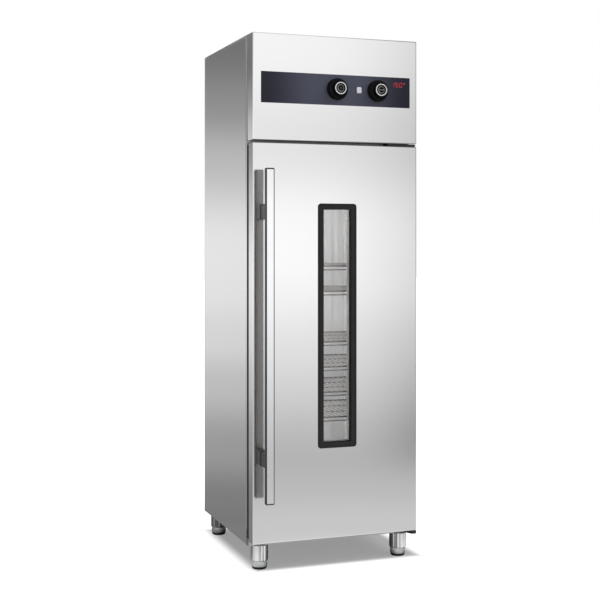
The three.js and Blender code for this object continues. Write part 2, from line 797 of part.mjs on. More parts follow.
function makeDuct() {
  const back = chamberBack - seatGap;
  const height = [ductBottom, ductTop];
  const inside = ductHalfWidth - linerSheet;
  const through = [ductBottom - overrun, ductTop + overrun];
  let duct = block([-ductHalfWidth, ductHalfWidth], [ductFace, back], height);
  duct = duct.subtract(block([-inside, inside], [ductFace + linerSheet, back + overrun], through));
  const pitch = (ductTop - ductBottom) / (ductSlotRows + 1);
  for (let i = 1; i <= ductSlotRows; i++) {
    const z = ductBottom + i * pitch;
    for (const x of [-ductSlotX, ductSlotX]) {
      const span = [x - ductSlotWidth / 2, x + ductSlotWidth / 2];
      const rise = [z - ductSlotHeight / 2, z + ductSlotHeight / 2];
      duct = duct.subtract(block(span, [ductFace - overrun, ductFace + overrun], rise));
    }
  }
  return duct;
}

function makeHeater() {
  const ringZ = chamberCeiling - heaterDrop;
  const section = [];
  const sectionSides = 8;
  for (let i = 0; i <= sectionSides; i++) {
    const angle = (-i * 2 * Math.PI) / sectionSides;
    section.push([heaterRadius + heaterTube * Math.cos(angle), ringZ - heaterTube * Math.sin(angle)]);
  }
  const solids = [turned(0, fanDepth, section, fanSides)];
  const collar = [chamberCeiling - heaterCollarHeight, chamberCeiling];
  for (const x of [-heaterLegSpacing / 2, heaterLegSpacing / 2]) {
    const y = fanDepth - heaterRadius;
    solids.push(post(x, y, heaterTube, [ringZ, ceilingTop + heaterLegRise]));
    solids.push(post(x, y, heaterCollar, collar));
  }
  return joined(solids);
}

function makeProbe() {
  const cap = [chamberCeiling - probeCapHeight, chamberCeiling];
  const stem = post(probeX, probeInset, probeRadius, [chamberCeiling - probeDrop, ceilingTop + probeRise]);
  return stem.add(post(probeX, probeInset, probeCapRadius, cap));
}

// Inside fittings: two side racks, the wire shelves on their ledges and the drip tray
function makeFittings() {
  const fittings = new THREE.Group();
  for (const [name, side] of Object.entries(sides)) {
    add(fittings, "rack_" + name, makeRack(side), polished);
  }
  shelfLevels.forEach((level, i) => {
    add(fittings, "shelf_" + (i + 1), makeShelf(ledgeTop(level) + seatGap), polished);
  });
  add(fittings, "drip_tray", makeTray(), innerSteel);
  return fittings;
}

const ledgeTop = (level) => chamberFloor + rackLowest + level * rackPitch;

function makeRack(side) {
  const height = [chamberFloor + rackPostFoot, baffleZ - rackPostHeadGap];
  const outer = chamberHalf - seatGap;
  const frontPost = frameFace + rackFrontInset;
  const backPost = chamberBack - rackBackInset;
  const solids = [];
  for (const y of [frontPost, backPost]) {
    const span = [y - rackPostWidth / 2, y + rackPostWidth / 2];
    solids.push(block(spanOf(side, postX, outer), span, height));
  }
  const ledgeSpan = [frameFace + ledgeFront, chamberBack - ledgeBackInset];
  for (let level = 0; level < rackLevels; level++) {
    const top = ledgeTop(level);
    const reach = spanOf(side, ledgeX, postX + ledgeThickness);
    solids.push(block(reach, ledgeSpan, [top - ledgeThickness, top]));
  }
  return joined(solids);
}

function makeShelf(z) {
  const front = frameFace + shelfFront;
  const back = ductFace - shelfBackGap;
  const bar = [z, z + shelfBar];
  const solids = [
    block([-shelfHalf, -shelfHalf + shelfBar], [front, back], bar),
    block([shelfHalf - shelfBar, shelfHalf], [front, back], bar),
    block([-shelfHalf, shelfHalf], [front, front + shelfBar], bar),
    block([-shelfHalf, shelfHalf], [back - shelfBar, back], bar),
  ];
  for (let i = 1; i <= shelfTieCount; i++) {
    const y = front + (i * (back - front)) / (shelfTieCount + 1);
    solids.push(block([-shelfHalf, shelfHalf], [y - shelfWire / 2, y + shelfWire / 2], [z, z + shelfWire]));
  }
  const pitch = (2 * shelfHalf - shelfBar) / (shelfWireCount + 1);
  const wireTop = z + shelfBar - shelfWire / 2 + shelfWire;
  for (let i = 1; i <= shelfWireCount; i++) {
    const x = -shelfHalf + shelfBar / 2 + i * pitch;
    const span = [x - shelfWire / 2, x + shelfWire / 2];
    const length = [front + shelfBar / 4, back - shelfBar / 4];
    solids.push(block(span, length, [z + shelfWire / 2, wireTop - shelfWire]));
  }
  return joined(solids);
}

function makeTray() {
  const front = frameFace + trayFront;
  const back = ductFace - trayBackGap;
  const bottom = chamberFloor + seatGap;
  const height = [bottom, bottom + trayHeight];
  const tray = block([-trayHalfWidth, trayHalfWidth], [front, back], height);
  const inside = trayHalfWidth - traySheet;
  const hollow = [bottom + traySheet, bottom + trayHeight + overrun];
  return tray.subtract(block([-inside, inside], [front + traySheet, back - traySheet], hollow));
}

// Door: skin and liner round an insulating core, glazed window, gasket and handle
function makeDoor() {
  const door = new THREE.Group();
  add(door, "door_skin", makeDoorSkin(), steel);
  add(door, "door_core", makeDoorCore(), wool);
  add(door, "door_liner", makeDoorLiner(), innerSteel);
  add(door, "window_frame", makeWindowFrame(), blackRubber);
  const outerPane = [windowRecess + seatGap, windowRecess + seatGap + paneThickness];
  const innerBack = doorThickness - linerSheet - seatGap;
  add(door, "window_pane_outer", makePane(outerPane), clearGlass);
  add(door, "window_pane_inner", makePane([innerBack - paneThickness, innerBack]), clearGlass);
  add(door, "door_gasket", makeGasket(), blackRubber);
  add(door, "handle_bar", makeHandleBar(), darkPlastic);
  add(door, "handle_face", makeHandleFace(), polished);
  add(door, "handle_bracket_lower", makeBracket(handleBottom + bracketInset), darkPlastic);
  add(door, "handle_bracket_upper", makeBracket(handleTop - bracketInset), darkPlastic);
  return door;
}

// A block centred on the window, given its width, its height and its range along y
function windowBlock(width, height, depth) {
  const spanX = [windowX - width / 2, windowX + width / 2];
  return block(spanX, depth, [windowZ - height / 2, windowZ + height / 2]);
}

// The holes that let the hinge pins into the door's top and bottom
function cutPinHoles(made, top, bottom) {
  const radius = hingePinRadius + runGap;
  const depth = hingePinLength + runGap;
  const upper = post(hingeX, hingeY, radius, [top - depth, top + overrun]);
  const lower = post(hingeX, hingeY, radius, [bottom - overrun, bottom + depth]);
  return made.subtract(upper).subtract(lower);
}

function makeDoorSkin() {
  const whole = block([-halfWidth, halfWidth], [0, doorThickness], [doorBottom, doorTop]);
  const inside = halfWidth - sheet;
  const rise = [doorBottom + sheet, doorTop - sheet];
  const hollow = block([-inside, inside], [sheet, doorThickness + overrun], rise);
  const cut = [collarWidth + 2 * seatGap, collarHeight + 2 * seatGap];
  const skin = whole.subtract(hollow).subtract(windowBlock(...cut, [-overrun, overrun]));
  return cutPinHoles(skin, doorTop, doorBottom);
}

function makeDoorCore() {
  const half = halfWidth - sheet - seatGap;
  const bottom = doorBottom + sheet + seatGap;
  const top = doorTop - sheet - seatGap;
  const back = doorThickness - linerSheet - seatGap;
  const whole = block([-half, half], [sheet + seatGap, back], [bottom, top]);
  const cut = [collarWidth + 2 * seatGap, collarHeight + 2 * seatGap];
  const core = whole.subtract(windowBlock(...cut, [-overrun, doorThickness + overrun]));
  return cutPinHoles(core, doorTop, doorBottom);
}

function makeDoorLiner() {
  const half = halfWidth - sheet - seatGap;
  const height = [doorBottom + sheet + seatGap, doorTop - sheet - seatGap];
  const plate = block([-half, half], [doorThickness - linerSheet, doorThickness], height);
  const cut = [paneWidth - 2 * linerLap, paneHeight - 2 * linerLap];
  return plate.subtract(windowBlock(...cut, [doorThickness - overrun, doorThickness + overrun]));
}

function makeWindowFrame() {
  const flange = roundedRectangle(windowX, windowZ, windowWidth, windowHeight, windowCorner);
  const front = -(windowProud + seatGap);
  const solids = [
    facing(flange, [front, -seatGap]),
    windowBlock(collarWidth, collarHeight, [front / 2, doorThickness - linerSheet - seatGap]),
  ];
  const through = [front - overrun, doorThickness + overrun];
  const seat = [paneWidth + 2 * seatGap, paneHeight + 2 * seatGap];
  return joined(solids)
    .subtract(windowBlock(openingWidth, openingHeight, through))
    .subtract(windowBlock(...seat, [windowRecess, doorThickness + overrun]));
}

function makePane(depth) {
  return windowBlock(paneWidth, paneHeight, depth);
}

function makeGasket() {
  const half = halfWidth - gasketInset;
  const bottom = doorBottom + gasketFootInset;
  const top = doorTop - gasketInset;
  const depth = [doorThickness + seatGap, doorThickness + seatGap + gasketDepth];
  const inner = half - gasketWidth;
  const whole = block([-half, half], depth, [bottom, top]);
  const rise = [bottom + gasketWidth, top - gasketWidth];
  return whole.subtract(block([-inner, inner], [doorThickness - overrun, frameFace + overrun], rise));
}

function makeHandleBar() {
  const middle = (handleFront + handleBack) / 2;
  const section = roundedRectangle(handleX, middle, handleWidth, handleThickness, handleCorner);
  const bar = upright(section, [handleBottom, handleTop]);
  const half = handleWidth / 2 - handleRim;
  const seat = handleFront + handleFaceThickness - handleFaceProud + seatGap;
  const slotZ = [handleBottom + handleEndRim, handleTop - handleEndRim];
  return bar.subtract(block([handleX - half, handleX + half], [handleFront - overrun, seat], slotZ));
}

function makeHandleFace() {
  const half = handleWidth / 2 - handleRim - seatGap;
  const front = handleFront - handleFaceProud;
  const rise = [handleBottom + handleEndRim + seatGap, handleTop - handleEndRim - seatGap];
  return block([handleX - half, handleX + half], [front, front + handleFaceThickness], rise);
}

function makeBracket(z) {
  const half = bracketWidth / 2;
  const foot = half + bracketBaseLap;
  const rise = bracketHeight / 2;
  const reach = [handleBack + seatGap, -seatGap];
  const stem = block([handleX - half, handleX + half], reach, [z - rise, z + rise]);
  const spanZ = [z - rise - bracketBaseLap, z + rise + bracketBaseLap];
  return stem.add(block([handleX - foot, handleX + foot], [-seatGap - bracketBase, -seatGap], spanZ));
}

// Hinge parts fixed to the cabinet, each with the pin that enters the door
function makeHinges() {
  const hinges = new THREE.Group();
  const right = halfWidth - seatGap;
  const plateZ = [doorTop + hingePlateLift, doorTop + hingePlateLift + hingePlate];
  const wall = frameFace - seatGap;
  const end = halfWidth - hingePlateInset;
  const spanX = [halfWidth - hingePlateReach, end];
  const upper = joined([
    block(spanX, [hingeFrontGap, wall], plateZ),
    block(spanX, [wall - hingeFlange, wall], [plateZ[0], plateZ[0] + hingeFlangeRise]),
    post(hingeX, hingeY, hingePinRadius, [doorTop - hingePinLength, plateZ[1]]),
  ]);
  add(hinges, "upper_hinge_bracket", upper, darkMetal);
  const left = right - hingeBlockWidth;
  const blockTop = doorBottom - hingeWasher - seatGap;
  const plan = [
    [right, hingeFrontGap],
    [right, sillFaceInset - seatGap],
    [left, sillFaceInset - seatGap],
    [left, hingeBlockShoulder],
    [right - hingeBlockNose, hingeFrontGap],
  ];
  const lower = joined([
    upright(plan, [blockTop - hingeBlockHeight, blockTop]),
    post(hingeX, hingeY, hingeWasherRadius, [blockTop - hingeWasher, blockTop + hingeWasher]),
    post(hingeX, hingeY, hingePinRadius, [blockTop - hingeWasher, doorBottom + hingePinLength]),
  ]);
  add(hinges, "lower_hinge_bracket", lower, darkMetal);
  return hinges;
}

// Four feet: a tube under the pan and a base that screws up into it
function makeFeet() {
  const feet = new THREE.Group();
  for (const [end, y] of Object.entries(footYs)) {
    for (const [name, side] of Object.entries(sides)) {
      add(feet, `foot_tube_${end}_${name}`, makeFootTube(side * footX, y), polished);
      add(feet, `foot_base_${end}_${name}`, makeFootBase(side * footX, y), polished);
    }
  }
  return feet;
}

function makeFootTube(x, y) {
  const top = shellLift - seatGap;
  const bore = footStemRadius + runGap;
  const pairs = [
    [bore, footCollarHeight],
    [footRadius, footCollarHeight],
    [footRadius, top],
    [0, top],
    [0, top - footRoof],
    [bore, top - footRoof],
    [bore, footCollarHeight],
  ];
  return turned(x, y, pairs, footSides);
}

function makeFootBase(x, y) {
  const collarTop = footCollarHeight - seatGap;
  const pad = [
    [0, 0],
    [footPadRadius, 0],
    [footCollarRadius, footPadHeight / 2],
    [footCollarRadius, footPadHeight],
    [0, footPadHeight],
  ];
  return joined([
    turned(x, y, pad, footSides),
    post(x, y, footCollarRadius, [footPadHeight / 2, collarTop], collarFlats),
    post(x, y, footStemRadius, [footPadHeight, footStemHeight]),
  ]);
}

// Cable entry at the back
function makeGland() {
  const z = cabinetHeight - glandDrop;
  const face = cabinetDepth + seatGap;
  const gland = joined([
    rod(glandX, z, glandRadius, [face, face + glandHexDepth], 6),
    rod(glandX, z, glandNoseRadius, [face, cabinetDepth + glandReach]),
    rod(glandX, z, glandStemRadius, [cabinetDepth - glandStemLength, face + seatGap]),
  ]);
  const through = [cabinetDepth - 2 * glandStemLength, cabinetDepth + 2 * glandReach];
  return gland.subtract(rod(glandX, z, glandBore, through));
}

cabinet.add(makeShell(), makeFrontFrame(), makeChamber(), makeHead(), makeAir(), makeFittings());
cabinet.add(makeDoor(), makeHinges(), makeFeet());
add(cabinet, "cable_gland", makeGland(), blackPlastic);

const sterilizerCabinet = new THREE.Group();
sterilizerCabinet.add(cabinet);

export default sterilizerCabinet;
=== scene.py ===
"""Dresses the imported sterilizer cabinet: bent steel sheet, glass, rubber, knobs, handle, feet and wire shelves.

Everything is in metres in the cabinet's own frame: +Z up, the door faces -Y, +X to the right of its front.
"""

import math

import bmesh
import bpy
import numpy as np
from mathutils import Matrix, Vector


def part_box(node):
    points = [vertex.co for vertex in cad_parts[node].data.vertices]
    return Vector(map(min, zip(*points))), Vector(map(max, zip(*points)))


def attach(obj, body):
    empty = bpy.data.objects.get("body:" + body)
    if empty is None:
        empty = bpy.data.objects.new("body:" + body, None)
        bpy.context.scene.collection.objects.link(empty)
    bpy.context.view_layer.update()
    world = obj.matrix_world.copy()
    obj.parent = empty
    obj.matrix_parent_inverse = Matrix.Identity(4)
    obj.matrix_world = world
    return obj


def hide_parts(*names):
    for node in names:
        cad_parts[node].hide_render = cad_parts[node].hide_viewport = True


bl_info = {
    "name": "Sterilizer cabinet",
    "version": (1, 0, 0),
    "blender": (4, 5, 0),
    "location": "3D View > Sidebar > Cabinet",
    "description": "Makes the visible surfaces, finishes and studio of an upright dish sterilizer cabinet",
    "category": "Add Mesh",
}

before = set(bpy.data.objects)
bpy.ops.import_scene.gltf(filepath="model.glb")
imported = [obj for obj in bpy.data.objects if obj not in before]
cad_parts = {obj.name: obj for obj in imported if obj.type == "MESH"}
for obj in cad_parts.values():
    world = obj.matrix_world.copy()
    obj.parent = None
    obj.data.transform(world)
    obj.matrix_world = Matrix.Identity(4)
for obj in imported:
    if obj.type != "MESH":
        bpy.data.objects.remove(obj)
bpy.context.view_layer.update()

MM = 0.001
TO_FRONT, TO_BACK, UP = (0, -1, 0), (0, 1, 0), (0, 0, 1)
FLAT_RIM = 0.5 * MM  # a narrow flat strip beside each bend keeps the shading of the big faces flat
SHEET_CORNER = 1.5 * MM  # radius of a folded sheet's four corners
LOWER_SIDE = 2 * MM  # what is no higher than this above its lowest point is its lower side
BEVEL_SEGMENTS, BEVEL_ANGLE = 2, math.radians(30)


# Sizes and colours that a user would change


class SheetSettings(bpy.types.PropertyGroup):
    """How the outer sheet is bent."""

    bend_radius: bpy.props.FloatProperty(
        name="Bend radius", description="Outer radius of the bends round the door and the head cover",
        default=3.0 * MM, min=0.5 * MM, unit="LENGTH",
    )
    side_bend: bpy.props.FloatProperty(
        name="Side bend radius", description="Outer radius of the bends along the side panels",
        default=6.0 * MM, min=1.5 * MM, unit="LENGTH",
    )
    sheet: bpy.props.FloatProperty(
        name="Sheet thickness", description="Thickness of the door and head sheet", default=1.0 * MM,
        min=0.3 * MM, unit="LENGTH",
    )
    edge_softening: bpy.props.FloatProperty(
        name="Edge softening", description="Width of the small bevel on pressed and cut parts",
        default=0.35 * MM, min=0.0, unit="LENGTH",
    )


def colour_property(name, description, default):
    """A colour that a user would change."""
    return bpy.props.FloatVectorProperty(
        name=name, description=description, default=default, size=3, subtype="COLOR"
    )


class FinishSettings(bpy.types.PropertyGroup):
    """Colours of the main finishes."""

    steel_colour: colour_property("Steel", "Colour of the outer stainless steel", (0.81, 0.808, 0.81))
    steel_roughness: bpy.props.FloatProperty(
        name="Steel roughness", description="Roughness of the outer stainless steel", default=0.13, min=0.02,
        max=1.0, subtype="FACTOR",
    )
    handle_colour: colour_property("Handle", "Colour of the handle's moulded body", (0.024, 0.024, 0.026))
    rubber_colour: colour_property("Rubber", "Colour of the seal and the window surround", (0.009, 0.009, 0.01))
    glass_colour: colour_property(
        "Control glass", "Colour of the dark glass of the controls", (0.007, 0.008, 0.020)
    )
    # painted sheen: the control glass's lighter colour about its middle stands for a reflection
    glass_middle: colour_property(
        "Control glass, middle", "Colour of the control glass about its middle", (0.062, 0.066, 0.100)
    )
    display_colour: colour_property("Digits", "Colour of the lit digits", (0.62, 0.02, 0.03))


class StudioSettings(bpy.types.PropertyGroup):
    """Camera and lamps."""

    camera_place: bpy.props.FloatVectorProperty(
        name="Camera place",
        description="Where the camera stands: from the door's middle, the door's front and the floor",
        subtype="TRANSLATION", size=3, default=(-1.5394, -3.8915, 1.1455),
    )
    camera_turn: bpy.props.FloatProperty(
        name="Camera turn", description="How far the level camera looks to the right of straight back",
        default=math.radians(19.813), subtype="ANGLE",
    )
    focal_length: bpy.props.FloatProperty(
        name="Focal length", description="Lens of the camera for a sensor 36 mm wide", default=71.19,
        unit="CAMERA",
    )
    frame_shift: bpy.props.FloatProperty(
        name="Frame shift", description="Vertical lens shift, as a share of the frame's width",
        default=-0.0985,
    )
    world_level: bpy.props.FloatProperty(
        name="World level", description="Strength of the light from all round", default=0.62, min=0.0
    )
    mirror_level: bpy.props.FloatProperty(
        name="Mirror level", description="Strength of what the metal reflects of the room and the floor",
        default=1.2, min=0.0,
    )
    key_power: bpy.props.FloatProperty(
        name="Key lamp", description="Power of the large soft lamp", default=150.0, min=0.0, unit="POWER"
    )
    chamber_power: bpy.props.FloatProperty(
        name="Chamber lamp", description="Power of the soft lamp inside the chamber", default=2.9, min=0.0,
        unit="POWER",
    )


# Finishes: each is worked out from the object's own coordinates


class Graph:
    """Adds and links the nodes of one material or world."""

    def __init__(self, owner):
        owner.use_nodes = True
        self.nodes, self.links = owner.node_tree.nodes, owner.node_tree.links

    def feed(self, source, socket):
        """Links another node's output to the socket, or sets the socket's own value."""
        if isinstance(source, bpy.types.NodeSocket):
            self.links.new(source, socket)
        else:
            socket.default_value = source

    def add(self, kind, *sources, **settings):
        """A new node with these settings, its first inputs fed in order."""
        node = self.nodes.new("ShaderNode" + kind)
        for name, value in settings.items():
            setattr(node, name, value)
        for source, socket in zip(sources, node.inputs):
            self.feed(source, socket)
        return node

    def math(self, operation, *sources):
        """The result of one sum."""
        return self.add("Math", *sources, operation=operation).outputs["Value"]

    def parts(self, vector):
        """The x, y and z of a vector."""
        return list(self.add("SeparateXYZ", vector).outputs)

    def spread(self, value, levels, places=(0.0, 1.0), kind="LINEAR"):
        """The value between two places, taken to two levels."""
        return self.add("MapRange", value, *places, *levels, interpolation_type=kind).outputs["Result"]

    def smooth(self, value, places, levels=(0.0, 1.0)):
        """A smooth step of the value between two places, from the first level to the second."""
        return self.spread(value, levels, places, "SMOOTHSTEP")

    def noise(self, vector, scale, detail):
        """A noise pattern with about that many bumps in a metre."""
        node = self.add("TexNoise", vector)
        self.feed(scale, node.inputs["Scale"])
        self.feed(detail, node.inputs["Detail"])
        return node.outputs["Fac"]

    def mix(self, share, first, second):
        """A colour between two colours."""
        node = self.add("Mix", data_type="RGBA")
        for name, source in (("Factor", share), ("A", first), ("B", second)):
            self.feed(source, node.inputs[name])
        return node.outputs["Result"]


GRAIN_DETAIL = 3.0
SMUDGE_SCALE, SMUDGE_DETAIL, SMUDGE_RANGE = 5.0, 4.0, (0.3, 0.7)
GLASS_PAINTED_SHEEN = (0.08, 0.27)  # distances from x = 0 where the glass's painted sheen, its lighter middle, starts and ends to fade


def finish(
    name,
    colour,
    roughness,
    metallic=0.0,
    stretch=(1.0, 1.0, 1.0),
    grain=400.0,
    tint=0.04,
    uneven=0.04,
    bump=0.1,
    bump_depth=0.02 * MM,
    smudge=0.03,
    painted_bands=None,
    middle=None,
    glow=0.0,
    sockets=None,
):
    """A finish from two noises: a fine grain, which may be stretched, and broad smudges.

    The grain changes the colour by the share tint, the roughness by uneven and the relief by bump_depth times
    bump. The smudges change the roughness by smudge. Two levels of the grain, when given, are where the colour
    goes sharply from dark to light, which paints reflection bands. Middle is a colour that fades out sideways
    from x = 0, a painted sheen. Glow is the strength of the finish's own light, and sockets are further values
    of the shader.
    """
    material = bpy.data.materials.new(name)
    graph = Graph(material)
    where = graph.add("TexCoord").outputs["Object"]
    mapping = graph.add("Mapping", where)
    graph.feed(stretch, mapping.inputs["Scale"])
    fine = graph.noise(mapping.outputs["Vector"], grain, GRAIN_DETAIL)
    broad = graph.noise(where, SMUDGE_SCALE, SMUDGE_DETAIL)
    darker = [c * (1 - tint) for c in colour]
    lighter = [min(c * (1 + tint), 1.0) for c in colour]
    # with two levels given, the grain turns into sharp dark and light bands: painted reflection bands
    base = graph.mix(graph.smooth(fine, painted_bands) if painted_bands else fine, (*darker, 1), (*lighter, 1))
    # painted sheen: towards x = 0 the colour turns to the middle colour, standing for a reflection across the
    # glass
    if middle is not None:
        off_middle = graph.math("ABSOLUTE", graph.parts(where)[0])
        base = graph.mix(graph.smooth(off_middle, GLASS_PAINTED_SHEEN, (1.0, 0.0)), base, (*middle, 1))
    streak = graph.spread(fine, (-uneven, uneven))
    cloud = graph.spread(broad, (roughness - smudge, roughness + smudge), SMUDGE_RANGE)
    relief = graph.add("Bump")
    for socket, value in (("Strength", bump), ("Distance", bump_depth), ("Height", fine)):
        graph.feed(value, relief.inputs[socket])
    values = {
        "Base Color": base,
        "Metallic": metallic,
        "Roughness": graph.math("ADD", streak, cloud),
        "Normal": relief.outputs["Normal"],
    }
    if glow:
        values.update({"Emission Color": (*colour, 1), "Emission Strength": glow})
    values.update(sockets or {})
    for socket, value in values.items():
        graph.feed(value, graph.nodes["Principled BSDF"].inputs[socket])
    return material


# What each finish is made of; a word stands for the user's own value in FinishSettings
FINISHES = {
    # fine satin stainless steel, its grain running up and down
    "Outer steel": dict(
        colour="steel_colour", roughness="steel_roughness", metallic=1.0, stretch=(1.0, 1.0, 0.02),
        grain=900.0, tint=0.012, uneven=0.012, bump=0.02, bump_depth=0.01 * MM, smudge=0.008,
    ),
    # duller steel of the chamber, with a grain running across
    "Chamber steel": dict(
        colour=(0.78, 0.775, 0.77), roughness=0.42, metallic=0.5, stretch=(0.03, 0.03, 1.0), grain=700.0,
        tint=0.03, uneven=0.05, bump=0.12, smudge=0.05,
    ),
    # polished steel of the screws, the racks and the handle's face
    "Bright steel": dict(
        colour=(0.86, 0.865, 0.87), roughness=0.16, metallic=1.0, stretch=(1.0, 1.0, 0.05), grain=1200.0,
        tint=0.02, uneven=0.03, bump=0.05,
    ),
    # drawn tube of the feet, with fine streaks running up and down and, on them, painted dark and light
    # reflection bands
    "Foot steel": dict(
        colour=(0.52, 0.525, 0.53), roughness=0.15, metallic=0.8, stretch=(1.0, 1.0, 0.01), grain=95.0,
        tint=0.6, uneven=0.03, bump=0.05, smudge=0.02, painted_bands=(0.4, 0.6),
    ),
    # greyer steel of the sill, the knob marks and the back of the handle
    "Dull steel": dict(colour=(0.42, 0.415, 0.40), roughness=0.32, metallic=1.0, grain=900.0, tint=0.06),
    # the shelves' steel in two copies: a near-black one of the rims, which paints their shade, and a greyer one
    # of their long wires
    "Wire steel": dict(colour=(0.035, 0.03, 0.028), roughness=0.38, metallic=0.8, grain=900.0, tint=0.1),
    "Shelf wire steel": dict(
        colour=(0.25, 0.225, 0.215), roughness=0.36, metallic=0.9, grain=900.0, tint=0.1
    ),
    # bright matt aluminium of the spacer between the panes and of the knob rings
    "Spacer metal": dict(
        colour=(0.88, 0.88, 0.88), roughness=0.42, metallic=0.6, grain=900.0, tint=0.03, bump=0.15
    ),
    # cast aluminium of the fan, its motor and the feet's collars
    "Cast aluminium": dict(
        colour=(0.58, 0.59, 0.6), roughness=0.45, metallic=1.0, grain=350.0, tint=0.08, bump=0.6,
        bump_depth=0.1 * MM,
    ),
    # satin moulded plastic of the handle, and the near-black plastic of the knobs
    "Dark moulding": dict(
        colour="handle_colour", roughness=0.4, grain=1500.0, tint=0.12, bump=0.35, smudge=0.05
    ),
    "Knob plastic": dict(
        colour=(0.004, 0.004, 0.005), roughness=0.28, grain=1800.0, tint=0.2, bump=0.25, smudge=0.06,
        sockets={"Specular IOR Level": 0.08},
    ),
    "White plastic": dict(colour=(0.7, 0.71, 0.75), roughness=0.28, grain=1500.0, tint=0.02),
    # matt black rubber of the seal, the window surround and the feet's pads, and a grey sheet put in the gap
    # under the head to stand for its shade: painted shade
    "Seal rubber": dict(
        colour="rubber_colour", roughness=0.62, grain=1100.0, tint=0.25, bump=0.5, smudge=0.08
    ),
    "Strip rubber": dict(
        colour=(0.42, 0.42, 0.425), roughness=0.55, grain=1100.0, tint=0.1, bump=0.3, smudge=0.06
    ),
    # dark back-painted glass, with a painted sheen that makes it lighter towards its middle
    "Control glass": dict(
        colour="glass_colour", roughness=0.08, grain=30.0, tint=0.08, uneven=0.01, bump=0.0, smudge=0.015,
        middle="glass_middle", sockets={"Specular IOR Level": 0.25},
    ),
    "Window glass": dict(
        colour=(0.985, 0.985, 0.985), roughness=0.02, grain=20.0, tint=0.01, uneven=0.005, bump=0.02,
        smudge=0.01, sockets={"Transmission Weight": 1.0, "IOR": 1.45},
    ),
    # satin paint of the hinge brackets and the heater
    "Black paint": dict(
        colour=(0.02, 0.02, 0.022), roughness=0.38, metallic=0.2, grain=600.0, tint=0.2, bump=0.3
    ),
    "Mineral wool": dict(
        colour=(0.62, 0.55, 0.33), roughness=0.95, grain=160.0, tint=0.25, bump=1.0, bump_depth=1.5 * MM,
        smudge=0.02,
    ),
    "Circuit board": dict(colour=(0.03, 0.16, 0.08), roughness=0.35, grain=500.0, tint=0.2, bump=0.2),
    "Lit digits": dict(colour="display_colour", roughness=0.4, grain=300.0, tint=0.1, bump=0.0, glow=0.5),
}


def coat(name):
    """The finish of that name, made the first time it is asked for."""
    made = bpy.data.materials.get(name)
    if made:
        return made
    chosen = bpy.context.scene.cabinet_finish
    values = FINISHES[name].items()
    return finish(name, **{key: getattr(chosen, v) if isinstance(v, str) else v for key, v in values})


# Mesh code


def span(node):
    """Lowest and highest corner of a CAD node, as two arrays in metres."""
    low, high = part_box(node)
    return np.array(low), np.array(high)


def face(node):
    """A CAD node seen from the front: its centre in x and z, width, height, and the y of its front and back."""
    low, high = span(node)
    width, _, height = high - low
    return (low + high)[[0, 2]] / 2, width, height, low[1], high[1]


def grid_faces(rows, columns, close_rows=False, close_columns=True):
    """Quads between neighbouring points of a rows x columns grid, closed round either way."""
    r = np.arange(rows if close_rows else rows - 1)[:, None]
    c = np.arange(columns if close_columns else columns - 1)[None, :]
    r2, c2 = (r + 1) % rows, (c + 1) % columns
    quads = np.stack([r * columns + c, r * columns + c2, r2 * columns + c2, r2 * columns + c], axis=-1)
    return quads.reshape(-1, 4)


def gather(parts):
    """Several (points, faces) pairs as one pair."""
    starts = np.cumsum([0] + [len(points) for points, _ in parts[:-1]])
    points = np.concatenate([points for points, _ in parts])
    faces = np.concatenate([faces + start for (_, faces), start in zip(parts, starts)])
    return points, faces


def loop(centre, width, height, radius, steps=6):
    """A rounded rectangle in x and z: a quarter circle of as many points about each corner's centre."""
    radius = max(min(radius, width / 2, height / 2), 0.0)
    quarter = np.linspace(0, np.pi / 2, steps + 1)
    angles = (quarter[None, :] + np.arange(4)[:, None] * np.pi / 2).ravel()
    signs = np.repeat(np.array([[1, 1], [-1, 1], [-1, -1], [1, -1]]), steps + 1, axis=0)
    inset = np.array([width / 2 - radius, height / 2 - radius])
    round_part = radius * np.stack([np.cos(angles), np.sin(angles)], axis=1)
    return np.array(centre) + signs * inset + round_part


def insets(centre, width, height, corner, tighter=0.0):
    """A function of (inset, y) that gives a row of ring_shell: that rectangle, smaller all round by the inset.

    Its corner radius loses the inset times tighter.
    """
    return lambda inset, y: (loop(centre, width - 2 * inset, height - 2 * inset, corner - tighter * inset), y)


def spine(centre, width, height):
    """The line that closes a rectangle's face: a loop with no breadth, along the middle of its longer side."""
    return loop(centre, max(width - height, 0.0), max(height - width, 0.0), 0.0)


def round_edge(row, radius, start, inward=1.0, points=6):
    """Rows on a quarter circle, from the face at start and inset by the radius, out to the full size."""
    turn = np.linspace(0, np.pi / 2, points)
    return [row(radius * (1 - math.sin(a)), start + inward * radius * (1 - math.cos(a))) for a in turn]


def ring_shell(rows, closed):
    """Loops in x-z, each at its own depth y, joined in order; closed joins the last loop to the first."""
    points = np.stack([np.stack([p[:, 0], np.broadcast_to(y, len(p)), p[:, 1]], axis=1) for p, y in rows])
    return points.reshape(-1, 3), grid_faces(len(rows), len(rows[0][0]), close_rows=closed)


def folded_front(node, opening, lap, lower_short=0.0):
    """A front sheet with an opening, bent back all round, as rows from its opening out and back in again.

    The front is flat, a quarter circle of the bend radius leads into straight sides, and the inside is the same
    one sheet in. The opening is smaller than another node by the lap. The lower side ends short of the others.
    """
    settings = bpy.context.scene.cabinet_sheet
    bend, sheet = settings.bend_radius, settings.sheet
    centre, width, height, front, back = face(node)
    outer = insets(centre, width, height, SHEET_CORNER, tighter=1.0)
    is_lower = outer(0.0, front)[0][:, 1] < centre[1] - height / 2 + LOWER_SIDE
    back = back - np.where(is_lower, lower_short, 0.0)
    hole = insets(*face(opening)[:3], corner=1 * MM)
    rows = [hole(lap, front + sheet), hole(lap, front), outer(bend + FLAT_RIM, front)]
    rows += round_edge(outer, bend, front)
    rows += [outer(0.0, front + bend + FLAT_RIM), outer(0.0, back), outer(sheet, back)]
    rows += [outer(sheet, front + bend), outer(bend, front + sheet)]
    return ring_shell(rows, closed=True)


